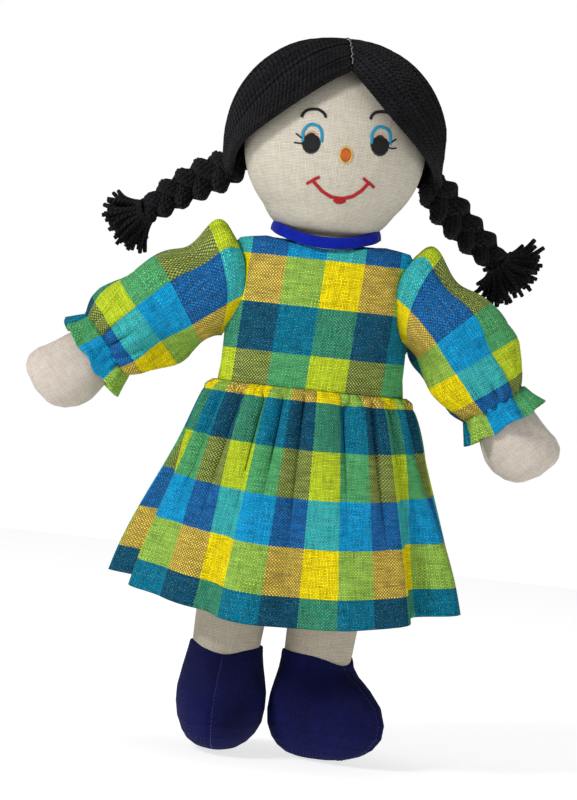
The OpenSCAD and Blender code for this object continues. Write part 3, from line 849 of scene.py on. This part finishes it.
# Each yarn's own random tone sets how light it is, and the low points of the weave, where yarns dip under
# each other, are darkened as painted shade.
lighter = mul_add(check, tone, 1.5, 0.25)
shade = mul(check, lighter, mul_add(check, c_in.outputs["Height"], 0.75, 0.52))
cloth_colour = colour_mix(check, 1.0, cloth_colour, combine(check, shade, shade, shade), "MULTIPLY")
# Undyed specks of cotton show where a slub yarn crosses the surface.
speck = above(check, noise(check, c_in.outputs["Thread mm"], 1.9, 0.0), 0.735)
cloth_colour = colour_mix(check, mul(check, speck, 0.35), cloth_colour, linear(205, 215, 150))
check.links.new(cloth_colour, c_out.inputs[0])


def handloom(name):
    material, tree, shader = cloth_shader(name, 0.0)
    place, threads = woven(tree, "uv", 0.8)
    pattern = tree.nodes.new("ShaderNodeGroup")
    pattern.node_tree = check
    tree.links.new(place, pattern.inputs["Thread mm"])
    for label in ("Warp On Top", "Height", "Weft Tone", "Warp Tone"):
        tree.links.new(threads[label], pattern.inputs[label])
    tree.links.new(pattern.outputs[0], shader.inputs["Base Color"])
    raise_by(tree, shader, threads["Height"], 0.00035, 0.9)
    return material


check_cloth = handloom("handloom_check")


def cloth_grid(name, nu, nv, place, thick, joined=False):
    # A cut panel: a fine grid laid on its shape, then given the thickness of the cloth inward.
    bpy.ops.object.select_all(action="DESELECT")
    bpy.ops.mesh.primitive_grid_add(x_subdivisions=nu, y_subdivisions=nv, size=2)
    piece = take(name)
    mesh = piece.data
    co = np.empty(len(mesh.vertices)*3)
    mesh.vertices.foreach_get("co", co)
    co = co.reshape(-1, 3)
    spots, uv = place((co[:, 0] + 1)/2, (co[:, 1] + 1)/2)
    give_uv(piece, uv)
    mesh.vertices.foreach_set("co", spots.ravel())
    mesh.update()
    if joined:
        bpy.ops.object.mode_set(mode="EDIT")
        bpy.ops.mesh.select_all(action="SELECT")
        bpy.ops.mesh.remove_doubles(threshold=1e-6)
        bpy.ops.object.mode_set(mode="OBJECT")
    wall = piece.modifiers.new("cloth", "SOLIDIFY")
    wall.thickness = thick
    wall.offset = -1
    bpy.ops.object.modifier_apply(modifier="cloth")
    bpy.ops.object.shade_smooth()
    return piece


trunk_w = span("bodice_front").x/2
trunk_d = span("bodice_front").y
neck_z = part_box("bodice_front")[1][2]
waist_z = -0.5*MM
ring_r = span("neck_binding").x/2 - span("neck_binding").z/2


def bodice_width(z):
    heights = np.array([waist_z, 18*MM, 36*MM, 53*MM, 63*MM, 68*MM, 71*MM, neck_z - 1.0*MM, neck_z + 0.5*MM])
    halves = trunk_w + np.array([0, -0.8, -1.2, -1.0, -1.2, -2.2, -4.2, -9.0, -19.5])*MM
    depths = trunk_d + np.array([0, 0, -1.0, -2.6, -4.8, -6.3, -7.4, -8.2, -9.0])*MM
    return np.interp(z, heights, halves), np.interp(z, heights, depths)


def bodice_place(a0, a1):
    def place(u, v):
        a = a0 + (a1 - a0)*u
        neck_dip = 4.0*MM*np.clip(-np.sin(a), 0, 1)**3
        z = waist_z + (neck_z - neck_dip - waist_z)*(1 - (1 - v)**1.25)
        w, d = bodice_width(z + neck_dip*ease(v, 0.7, 1))
        # Pulled folds run from the armholes, and the waist seam puckers a little.
        pull = 1.1*MM*np.sin(9*a + 60*z)*ease(np.abs(np.cos(a)), 0.45, 0.9)*ease(z, 10*MM, 50*MM)
        pucker = 0.45*MM*np.sin(46*a)*ease(-z, -9*MM, 4*MM)
        soft = 0.6*MM*np.sin(3.1*a + 95*z + 0.7) + 0.45*MM*np.sin(7.3*a - 130*z)
        r = 1 + (pull + pucker + soft)/trunk_w
        if a0 == 0.0:
            # The left back laps over the right where the dress opens.
            r = r + 1.3*MM*np.exp(-((a - a1)/0.16)**2)/trunk_w
        x, y = w*np.cos(a)*r, d*np.sin(a)*r
        # The chest is fuller and the sides flatter than a plain oval.
        full = 1 + 0.05*np.abs(np.sin(a))*np.abs(np.cos(a))*2
        x, y = x*full, y*full
        if a0 < 0:
            across = np.where(np.sin(a) < 0, np.sign(np.cos(a))*np.abs(
                (np.abs(x) + 0.10*np.abs(x)**3/trunk_w**2)), 0)
        else:
            across = (a + math.pi/2)*0.5*(trunk_w + trunk_d)
        cloth_u = across - 0.056*(z - 40*MM)
        uv = np.stack([(cloth_u/MM + 2*warp_pitch)/100, (weft_pitch + 63.5 - z/MM)/100], 1)
        return np.stack([x, y, z], 1), uv
    return place


bodice_front = cloth_grid("bodice_front_cloth", 120, 70, bodice_place(-math.pi, 0), 1.0*MM)
finish_piece(bodice_front, check_cloth, "torso", ("bodice_front",))
for side, a0, a1 in ((LEFT, 0.0, math.pi/2 + 0.07), (RIGHT, math.pi/2 - 0.07, math.pi)):
    word = side_name[side]
    back = cloth_grid("bodice_back_" + word + "_cloth", 60, 60, bodice_place(a0, a1), 1.0*MM)
    finish_piece(back, check_cloth, "torso", ("bodice_back_" + word,))

nylon, nylon_tree, nylon_shader = cloth_shader("hook_and_loop_tape", 0.3, 0.7)
hooks = nylon_tree.nodes.new("ShaderNodeTexVoronoi")
hooks.inputs["Scale"].default_value = 1400
nylon_tree.links.new(own_place(nylon_tree), hooks.inputs["Vector"])
nylon_colour = colour_mix(nylon_tree, hooks.outputs["Distance"], linear(225, 225, 222), linear(150, 150, 150))
nylon_tree.links.new(nylon_colour, nylon_shader.inputs["Base Color"])
raise_by(nylon_tree, nylon_shader, hooks.outputs["Distance"], 0.0004)
for node in ("hook_tape", "loop_tape"):
    dress_node(node, nylon)


# ---- Neck binding ----
# A folded strip of royal-blue bias tape closes the neck edge. It stands up round the head and dips in front,
# with a shallow crease where it is sewn down.
def bias_tape():
    material, tree, shader = cloth_shader("binding_royal_blue", 0.05, 0.62)
    place, threads = woven(tree, "uv", 0.3)
    tone = mul_add(tree, threads["Weft Tone"], 0.5, noise(tree, place, 0.25, 2.0))
    tree.links.new(colour_mix(tree, mul(tree, tone, 0.8), linear(1, 8, 84), linear(8, 38, 180)),
                   shader.inputs["Base Color"])
    raise_by(tree, shader, threads["Height"], 0.00008)
    return material


royal_tape = bias_tape()
tape_h = 5.6*MM
binding_z = middle("neck_binding").z


def binding_ring(a):
    front = np.clip(-np.sin(a), 0, 1)
    level = binding_z + 3.4*MM - 7.0*MM*front**1.6 + 0.8*MM*np.clip(np.sin(a), 0, 1)
    r = ring_r + 0.25*MM*np.sin(9*a)
    return np.stack([r*1.03*np.cos(a), r*0.98*np.sin(a), level], 1)


def binding_place(u, v):
    # The strip goes up the outside of the neck edge, over it and down the inside.
    a, along = 2*math.pi*u, 12.4*MM*(v - 0.5)
    bend = 1.15*MM
    arc = np.clip(along/bend, -math.pi/2, math.pi/2)
    down = np.abs(along) - bend*math.pi/2
    section_r = -bend*np.sin(arc)
    section_z = tape_h/2 - bend + np.where(down > 0, -down, bend*np.cos(arc))
    # A shallow crease runs where the tape is sewn down.
    section_r = section_r + np.where(along < 0, 0.35*MM*np.sin(np.clip(down/(tape_h*0.8), 0, 1)*math.pi), 0)
    flare = 0.20*section_z
    out = np.stack([np.cos(a), np.sin(a), 0*a], 1)
    spots = binding_ring(a) + out*(section_r - flare)[:, None] + np.array([0, 0, 1.0])*section_z[:, None]
    uv = np.stack([(a*ring_r + along)/MM/100, (along - a*ring_r*0.3)/MM/100], 1)
    return spots, uv


binding = cloth_grid("neck_binding_tape", 144, 26, binding_place, 0.6*MM, joined=True)
finish_piece(binding, royal_tape, "torso", ("neck_binding",))


# ---- Arms and hands ----
# Each arm is a calico tube stuffed firm, with a plain mitten hand that is fuller than the wrist.
# It is sewn to the trunk by an unstuffed tab, so it hangs and swings at the shoulder.
def arm_frame(side):
    root = np.array(joint["shoulder_" + side_name[side] + "_raise"]["pos_m"])
    cuff = np.array(middle("cuff_elastic_" + side_name[side]))
    way = unit(cuff - root)
    front = np.array([0, -1.0, 0])
    lower = unit(np.cross(front, way))
    if lower[2] > 0:
        lower = -lower
    return root, way, front, lower, float(np.linalg.norm(cuff - root))


def round_limb(line, t, r, a, drop=0.0):
    # Points at the way t along a limb's line, r out from it at angle a, and drop toward its underside.
    root, way, front, lower = line
    return root + way*t[:, None] + front*(r*np.cos(a))[:, None] + lower*(r*np.sin(a) + drop)[:, None]


arm_len, arm_cloth_r = 97*MM, 16*MM
UV_PER_M = 10


def arm_shape(side):
    line = arm_frame(side)[:4]

    def shape(down, turn):
        t = -8*MM + (arm_len + 8*MM)*(1 - (1 - down)**0.92)
        stops = np.array([-8, -6, -2, 8, 47, 61, 69, 77, 84, 90, 94, 96.2, 97])*MM
        radii = np.array([0, 9, 12.6, 14, 13.8, 14.2, 15.9, 17.3, 17.6, 15.9, 12.2, 7.4, 0.0])*MM
        r = np.interp(t, stops, radii)
        # The mitten is a little flat, swells toward the thumb side and turns in at the tip.
        grip = ease(t, 61*MM, 83*MM)
        flat = 1 - 0.08*grip*np.abs(np.cos(turn))
        thumb = 1 + 0.06*grip*np.sin(turn)*ease(-t, -91*MM, -75*MM)
        dents = 0.25*MM*np.sin(3*turn + 190*t) + 0.2*MM*np.sin(5*turn - 120*t + 1.1)
        r = r*flat*thumb + dents*ease(r, 0, 6*MM)
        curve = -2.0*MM*grip*ease(t, 71*MM, 97*MM)
        spots = round_limb(line, t, r, turn, curve)
        return spots, np.stack([turn*arm_cloth_r*UV_PER_M, t*UV_PER_M], 1)
    return shape


hand_calico = calico_cloth("calico_hands", linear(236, 226, 216), linear(204, 190, 174))
for side, word in side_name.items():
    arm = mould("arm_" + word, 72, 90, arm_shape(side), wrap=2*math.pi*arm_cloth_r*UV_PER_M)
    finish_piece(arm, hand_calico, "arm_" + word, ("arm_skin_" + word, "arm_stuffing_" + word))


# ---- Sleeves ----
# Puffed sleeves cut with the check running down the arm. Each is gathered into the armhole and
# again at the wrist, where elastic in a casing leaves a frill standing out over the hand.
sleeve_turn = 150.0
sleeve_cloth, hem_cloth = 0.9*MM, 0.8*MM
blue_row_at = {LEFT: 13.5, RIGHT: 7.0}


def sleeve_place(side):
    root, way, front, lower, cuff_at = arm_frame(side)
    rng = random.Random(71 + side)
    phases = [rng.uniform(0, 6.28) for _ in range(8)]

    def place(u, v):
        a = 2*math.pi*u
        up = np.clip(-np.sin(a), 0, 1)
        under = np.clip(np.sin(a), 0, 1)
        # The armhole is an upright oval that lies on the side of the bodice.
        hole_y = -17.0*MM*np.cos(a)
        hole_z = root[2] - 24*MM*np.sin(a)
        wide, deep = bodice_width(np.minimum(hole_z, 62*MM))
        hole_x = 1.03*wide*np.sqrt(np.clip(1 - (hole_y/deep)**2, 0.05, 1)) + 0.3*MM
        hole = np.stack([side*hole_x, hole_y, hole_z], 1)
        t = 2*MM + (cuff_at - 2*MM)*v
        stops = np.array([0, 0.1, 0.25, 0.45, 0.62, 0.77, 0.87, 0.94, 0.985, 1.0])*cuff_at
        radii = np.array([20, 21.8, 23.2, 23.7, 23.2, 21.8, 20.0, 18.4, 17.1, 16.9])*MM
        r = np.interp(t, stops, radii)
        wrist = ease(v, 0.52, 0.97)
        cap = 1 - ease(v, 0.05, 0.42)
        puckers = np.abs(np.sin(6*a + phases[1] + 0.7*np.sin(2*a) + 12*t))**0.6 - 0.72
        r = r + 4.5*MM*wrist*(1 - 0.8*ease(v, 0.86, 1.0))*puckers + 0.5*MM*wrist*np.sin(19*a + phases[2])
        # Loose diagonal folds in the puff.
        body = ease(v, 0.05, 0.35)*(1 - 0.4*wrist)
        r = r + body*(1.6*MM*np.sin(2*a + 95*t + phases[3]) + 1.7*MM*np.sin(3*a - 130*t + phases[4])
                      + 0.9*MM*np.sin(5*a + 170*t + phases[5]))
        tube = round_limb((root, way, front, lower), t, r, a)
        blend = ease(v, -0.10, 0.40)[:, None]
        blend = (blend - 0.104)/(1 - 0.104)
        away = (1 - blend)*np.stack([0*a, -np.cos(a), -np.sin(a)], 1) \
            + blend*(front*np.cos(a)[:, None] + lower*np.sin(a)[:, None])
        # Gathers fan out from the armhole, and the head of the sleeve stands up in a roll.
        swell = 3.2*MM*np.sin(np.clip(v/0.40, 0, 1)*math.pi)*(1 - 0.8*under)
        swell = swell + 8.0*MM*up**1.3*np.exp(-((v - 0.075)/0.055)**2)
        swell = swell - 3.0*MM*up*np.exp(-((v - 0.19)/0.05)**2)
        pleat = np.abs(np.sin(7*a + phases[0] + 0.5*np.sin(3*a)))**0.6 - 0.7
        swell = swell + 2.6*MM*cap*ease(v, 0.0, 0.05)*pleat*(0.3 + 0.7*up)
        spots = tube*blend + hole*(1 - blend) + away*swell[:, None]
        along = np.where(v < 0.34, 31*v/0.34, 31 + 35*(v - 0.34)/0.66)/66
        half = np.where(a > math.pi, a - 2*math.pi, a)
        weft = blue_row_at[side] + half/(2*math.pi)*sleeve_turn + 13*(1 - blend[:, 0])
        return spots, np.stack([(47.5 + 79*along)/100, weft/100], 1)
    return place


def frill_place(side):
    root, way, front, lower, cuff_at = arm_frame(side)
    rng = random.Random(91 + side)
    ph = [rng.uniform(0, 6.28) for _ in range(4)]

    def place(u, v):
        a = 2*math.pi*u
        wave = np.sin(7*a + ph[0] + 0.8*np.sin(a + ph[1]))
        t = cuff_at - 0.8*MM + 11.8*MM*v - 1.0*MM*v*wave
        r = 16.8*MM + 4.0*MM*v**0.8 + 3.1*MM*v*wave + 0.8*MM*(1 - v)*np.sin(19*a + ph[2])
        r = r + 1.7*MM*v*np.sin(11*a + ph[3])
        spots = round_limb((root, way, front, lower), t, r, a)
        half = np.where(a > math.pi, a - 2*math.pi, a)
        weft = blue_row_at[side] + half/(2*math.pi)*sleeve_turn
        return spots, np.stack([(137.5 + 12.0*v)/100, weft/100], 1)
    return place


def seam_behind(place):
    # The seam of the sleeve lies at the back: the cloth's middle faces forward.
    return lambda u, v: place(u - 0.5, v)


stitch_dark = thread("thread_dress", linear(10, 60, 80), linear(30, 120, 130))
for side, word in side_name.items():
    frill = cloth_grid("cuff_frill_" + word + "_cloth", 150, 14, seam_behind(frill_place(side)),
                       sleeve_cloth, joined=True)
    finish_piece(frill, check_cloth, "arm_" + word, ("cuff_frill_" + word,))
    sleeve = cloth_grid("sleeve_" + word + "_cloth", 160, 96, seam_behind(sleeve_place(side)),
                        sleeve_cloth, joined=True)
    finish_piece(sleeve, check_cloth, None, ("sleeve_" + word,))
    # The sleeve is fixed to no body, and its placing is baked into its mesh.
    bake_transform(sleeve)

elastic, elastic_tree, elastic_shader = cloth_shader("elastic_cord", 0.2, 0.6)
ribs = noise(elastic_tree, own_place(elastic_tree), 900.0, 1.0)
elastic_tree.links.new(colour_mix(elastic_tree, ribs, linear(190, 190, 186), linear(240, 240, 238)),
                       elastic_shader.inputs["Base Color"])
raise_by(elastic_tree, elastic_shader, ribs, 0.0002)
for node in ("cuff_elastic_left", "cuff_elastic_right"):
    dress_node(node, elastic)


# ---- Skirt ----
# One long width of the same cloth, joined into a ring, gathered to the waist seam and let fall in
# soft folds. The lower edge is turned up inside and held by a row of machine stitching.
hem_half = span("skirt_front").x/2 - 3*MM
hem_deep = span("skirt_front").y
hem_front = -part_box("skirt_front")[0][2]
side_hem = hem_front - 16*MM
cloth_round = 520.0
check_shift = 6.6
skirt_steps = [0.0, 0.02, 0.045, 0.08, 0.14, 0.24, 0.40, 0.60, 0.80, 1.0]
fold_rng = random.Random(5)
gather_phase = [fold_rng.uniform(0, 6.28) for _ in range(6)]


def skirt_spot(a, s, inward=0.0):
    # s is the way down the cloth from the waist seam to the hem, 0 to 1.
    front = np.abs(np.sin(a))**1.6
    drop = side_hem + (hem_front - 2*MM - side_hem)*front + waist_z
    z = waist_z - 0.5*MM - drop*s
    grow = s**0.80
    w = trunk_w + 0.5*MM + (hem_half - trunk_w)*grow
    d = trunk_d + 0.5*MM + (hem_deep - trunk_d)*grow
    # Tight gathers at the seam merge downward into a few deep folds.
    fine = np.exp(-(s/0.05)**1.2)
    mid = ease(s, 0.0, 0.07)*np.exp(-(np.clip(s - 0.10, 0, 1)/0.40)**1.4)
    broad = ease(s, 0.12, 0.95)
    ruffle = 2.6*MM*fine*(np.abs(np.sin(23*a + gather_phase[0] + 1.1*np.sin(5*a)))**0.7 - 0.6)
    ruffle = ruffle + 0.5*MM*fine*np.sin(71*a + gather_phase[4])
    crease = np.abs(np.sin(11.5*a + gather_phase[1] + 0.9*np.sin(3*a + 0.4) + 0.5*np.sin(7*a)))
    pleats = 9.5*MM*mid*(crease**0.6 - 0.72)
    folds = 4.6*MM*broad*np.sin(9*a + gather_phase[2] + 0.9*np.sin(2*a)) \
        + 3.2*MM*broad*np.sin(13*a + gather_phase[3] + 0.7*np.sin(3*a + 1.0))
    out = 1 + (ruffle + pleats + folds - inward)/np.sqrt(w*d)
    puff = 1.9*MM*np.exp(-((s - 0.022)/0.020)**2)
    out = out + puff/np.sqrt(w*d)
    return np.stack([w*np.cos(a)*out, d*np.sin(a)*out, z], 1)


def skirt_uv(a, s):
    from_front = (a + math.pi/2 + math.pi) % (2*math.pi) - math.pi
    cloth_u = -(from_front/(2*math.pi)*cloth_round - check_shift)
    length = 114.0*s
    return np.stack([cloth_u/100, (2*weft_pitch - 5.0 + length)/100], 1)


def cut_at_seam(uv, u):
    # At the back seam the two ends of the width keep their own places on the cloth.
    for rows, end in ((u > 0.9999, 0.5), (u < 0.0001, -0.5)):
        uv[rows, 0] = -(end*cloth_round - check_shift)/100
    return uv


def skirt_place(u, v):
    a = math.pi/2 + 2*math.pi*u
    s = np.interp(v, np.linspace(0, 1, len(skirt_steps)), skirt_steps)
    spots = skirt_spot(a, s)
    uv = skirt_uv(a, s)
    return spots, cut_at_seam(uv, u)


def hem_place(u, v):
    a = math.pi/2 + 2*math.pi*u
    # The turned-up hem: a strip inside the lower edge, from its fold up to its raw edge.
    s = 1.0 - 0.088*v
    spots = skirt_spot(a, s, inward=1.15*MM)
    uv = skirt_uv(a, 1.0 + 0.088*v)
    return spots, cut_at_seam(uv, u)


skirt = cloth_grid("skirt_cloth", 420, 96, skirt_place, sleeve_cloth, joined=True)
finish_piece(skirt, check_cloth, None, ("skirt_front", "skirt_back", "skirt_gathers"))
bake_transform(skirt)
hem = cloth_grid("skirt_hem_fold", 420, 5, hem_place, hem_cloth, joined=True)
finish_piece(hem, check_cloth, "skirt", ("skirt_hem",))
hem_stitches = []
for k in range(176):
    a0 = 2*math.pi*k/176
    a = a0 + np.linspace(0, 0.72, 4)*2*math.pi/176
    hem_stitches.append((skirt_spot(a, np.full(4, 0.93), inward=-0.12*MM), 0.22*MM))
hem_row = tubes("skirt_hem_stitching", hem_stitches, sides=5)
finish_piece(hem_row, stitch_dark, "skirt")


# ---- Legs ----
# Straight calico tubes, stuffed and sewn to the bottom of the trunk through flat tabs, so that they
# swing freely under the skirt.
def leg_frame(side):
    root = np.array(joint["leg_" + side_name[side] + "_swing"]["pos_m"])
    foot_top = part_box("boot_stuffing_" + side_name[side])[1][2]
    lean = math.radians(3)
    return root, np.array([-math.sin(lean), 0, -math.cos(lean)]), (root[2] - foot_top)/math.cos(lean)


def leg_shape(side):
    root, way, reach = leg_frame(side)
    across = np.array([1.0, 0, 0])
    back = np.array([0, 1.0, 0])

    def shape(down, turn):
        t = -18*MM + (reach + 26*MM)*down
        r = np.interp(t, np.array([-18, -16.5, -12, -5, 4, 40, 84, reach/MM + 5, reach/MM + 8])*MM,
                      np.array([0, 7.5, 14, 17.6, 18.4, 18.0, 17.1, 16.6, 0])*MM)
        r = r + (0.22*MM*np.sin(4*turn + 120*t) + 0.15*MM*np.sin(7*turn - 90*t))*ease(r, 0, 8*MM)
        spots = root + way*t[:, None] + across*(r*np.cos(turn))[:, None] + back*(r*np.sin(turn))[:, None]
        return spots, np.stack([turn*leg_cloth_r*UV_PER_M, t*UV_PER_M], 1)
    return shape


leg_cloth_r = 17.5*MM
leg_calico = calico_cloth("calico_legs", linear(226, 216, 198), linear(192, 180, 158))
for side, word in side_name.items():
    leg = mould("leg_" + word, 64, 70, leg_shape(side), wrap=2*math.pi*leg_cloth_r*UV_PER_M)
    finish_piece(leg, leg_calico, "leg_" + word, ("leg_skin_" + word, "leg_stuffing_" + word))


# ---- Boots ----
# Each boot is two curved pieces of navy twill, sewn along a seam that runs from the instep over the
# toe and under the sole, stuffed round, and stitched to the leg at its top edge.
def navy_twill():
    material, tree, shader = cloth_shader("twill_navy", 0.03, 0.88, (0.5, 0.5, 0.9))
    in_mm = grown(tree, own_place(tree), 1000.0)
    x, y, z = split_up(tree, in_mm)
    # Twill lines climb to the right over every surface.
    climb = add(tree, add(tree, x, mul(tree, y, 0.7)), mul(tree, z, 1.25))
    lines = sine(tree, mul(tree, climb, 2*math.pi/0.95))
    falling = math_node(tree, "SUBTRACT", z, mul(tree, x, 0.6))
    cross = sine(tree, mul(tree, falling, 2*math.pi/0.55))
    relief = mul_add(tree, cross, 0.45, lines)
    grain = noise(tree, in_mm, 1.3, 3.0)
    worn = noise(tree, in_mm, 0.045, 3.0)
    factor = add(tree, mul(tree, grain, 0.55),
                       mul_add(tree, relief, 0.12, mul(tree, worn, 0.35)))
    colour = colour_mix(tree, spread_out(tree, factor, 0.25, 0.85), linear(7, 8, 44), linear(36, 42, 122))
    tree.links.new(colour, shader.inputs["Base Color"])
    raise_by(tree, shader, relief, 0.00025)
    return material


boot_twill = navy_twill()
sole_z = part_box("boot_stuffing_left")[0][2] - 1.0*MM
boot_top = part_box("boot_stuffing_left")[1][2] + 1.0*MM
boot_yaw = {LEFT: math.radians(50), RIGHT: math.radians(-4)}


def boot_axes(side):
    root, way, reach = leg_frame(side)
    ankle = root + way*reach
    yaw = boot_yaw[side]
    toe = np.array([math.sin(yaw), -math.cos(yaw), 0])
    out = np.array([math.cos(yaw), math.sin(yaw), 0])
    return ankle, toe, out


def boot_shape(side):
    ankle, toe, out = boot_axes(side)
    high = (boot_top - sole_z)/MM

    def shape(down, turn):
        # Level rings from the top edge to the sole. Each ring is an oval that reaches further
        # forward over the foot than behind the heel.
        z = high*(0.5 + 0.5*np.cos(down*math.pi))
        z = np.where(down < 0.5, high*(1 - (down/0.5)**1.35*0.5), z)
        levels = np.array([0, 0.6, 2, 5, 9, 15, 22, 30, 37, 43, 48, 52, high])
        wide, fore, aft = (np.interp(z, levels, reach) for reach in (
            [2, 6.5, 11, 15.2, 18.4, 21.2, 22.3, 22.2, 21.0, 19.6, 18.7, 18.3, 17.4],
            [2, 13, 22, 31, 37.5, 42.5, 43.5, 40.0, 32.0, 23.0, 19.2, 18.4, 17.6],
            [2, 7, 11.5, 16.2, 19.6, 22, 22.4, 21.6, 20.2, 18.9, 18.2, 18.0, 17.4]))
        c, s = np.cos(turn), np.sin(turn)
        reach = np.where(c > 0, fore, aft)*c
        across = wide*s*(1 - 0.10*np.clip(c, 0, 1)*ease(z, 6, 24))
        closed = ease(down, 0.0, 0.035)
        reach, across = reach*closed, across*closed
        # The seam pulls the cloth in along the middle of the toe and the heel.
        seam = np.exp(-(across/1.5)**2)*ease(z, 1, 6)*closed
        reach = reach - np.sign(c)*0.9*seam
        pucker = 0.25*np.sin(z*2.1)*np.exp(-(across/5.0)**2)*np.clip(c, 0, 1)
        reach = reach + pucker
        soft = 0.4*np.sin(3*turn + 0.16*z) + 0.25*np.sin(5*turn - 0.21*z + 1.0)
        across = across + soft*s*closed
        # The top edge dips to the seam in front.
        z = z - 4.5*np.clip(c, 0, 1)**3*ease(z, 40, 54)
        spots = np.array([ankle[0], ankle[1], sole_z]) + (toe*reach[:, None] + out*across[:, None]
                                                          + np.array([0, 0, 1.0])*z[:, None])*MM
        return spots, np.stack([turn*0.2, z/100], 1)
    return shape


def boot_seam(side):
    # Small backstitches down the middle seam, over the toe.
    down = np.linspace(0.07, 0.90, 200)
    line, _ = boot_shape(side)(down, np.zeros(200))
    length = np.concatenate([[0], np.cumsum(np.linalg.norm(np.diff(line, axis=0), axis=1))])
    stitches = []
    for start in np.arange(0, length[-1] - 2*MM, 2.3*MM):
        s = start + np.linspace(0, 1.6*MM, 4)
        points = np.stack([np.interp(s, length, line[:, c]) for c in range(3)], 1)
        stitches.append((points, 0.25*MM))
    return stitches


seam_thread = thread("thread_navy", linear(18, 20, 74), linear(48, 54, 124))
for side, word in side_name.items():
    boot = mould("boot_" + word, 128, 96, boot_shape(side))
    finish_piece(boot, boot_twill, "leg_" + word,
                 ("boot_inner_panel_" + word, "boot_outer_panel_" + word, "boot_stuffing_" + word))
    seam = tubes("boot_" + word + "_seam", boot_seam(side), sides=5)
    finish_piece(seam, seam_thread, "leg_" + word)


# ---- Floor, light and camera ----
# A plain pale sweep under soft studio light. The camera looks at the doll's waist from a little
# above it, and is rolled, so that the doll leans over to the right.
bpy.ops.object.select_all(action="DESELECT")
bpy.ops.mesh.primitive_plane_add(size=2.6, location=(0, 0, sole_z - 0.2*MM))
floor = take("floor")
pale = bpy.data.materials.new("floor_pale")
pale.use_nodes = True
for socket, value in (("Base Color", (0.42, 0.42, 0.42, 1)), ("Roughness", 0.9),
                      ("Emission Color", (1, 1, 1, 1)), ("Emission Strength", 0.72)):
    pale.node_tree.nodes["Principled BSDF"].inputs[socket].default_value = value
floor.data.materials.append(pale)

world = bpy.data.worlds.new("studio")
bpy.context.scene.world = world
world.use_nodes = True
sky_tree = world.node_tree
background = sky_tree.nodes["Background"]
background.inputs["Color"].default_value = (1.0, 1.0, 1.0, 1)
# The sky is white at the horizon and dimmer overhead.
sky_up = split_up(sky_tree, sky_tree.nodes.new("ShaderNodeTexCoord").outputs["Generated"])[2]
sky_level = sky_tree.nodes.new("ShaderNodeMapRange")
sky_tree.links.new(sky_up, sky_level.inputs[0])
for slot, value in zip(range(1, 5), (0.13, 0.30, 1.0, 0.22)):
    sky_level.inputs[slot].default_value = value
sky_tree.links.new(sky_level.outputs[0], background.inputs["Strength"])


def softbox(name, place, aim, size, power):
    bpy.ops.object.light_add(type="AREA", location=place)
    light = bpy.context.object
    light.name = name
    light.data.shape = "RECTANGLE"
    light.data.size, light.data.size_y = size
    light.data.energy = power
    light.rotation_euler = (Vector(aim) - Vector(place)).to_track_quat("-Z", "Y").to_euler()


softbox("key_light", (-1.35, -1.25, 1.1), (0, 0, 0.02), (0.5, 0.5), 30)
softbox("fill_light", (1.3, -1.3, 0.5), (0, 0, 0), (1.0, 1.0), 3)
softbox("top_light", (0.1, 0.3, 1.6), (0, 0, 0), (1.2, 1.2), 9)

camera_data = bpy.data.cameras.new("camera")
camera = bpy.data.objects.new("camera", camera_data)
bpy.context.collection.objects.link(camera)
aim = Vector((-9.7*MM, 0, -7.0*MM))
distance, raised, roll = 1.6, math.radians(1.5), math.radians(6.1)
camera.location = aim + Vector((0, -math.cos(raised), math.sin(raised)))*distance
look = (aim - camera.location).normalized()
turned = look.to_track_quat("-Z", "Y").to_matrix().to_4x4()
camera.rotation_euler = (turned @ Matrix.Rotation(roll, 4, "Z")).to_euler()
view_height = 397.6*MM
camera_data.lens = camera_data.sensor_width*distance/view_height
camera_data.clip_start = 0.01
bpy.context.scene.camera = camera
bpy.context.scene.view_settings.view_transform = "Standard"
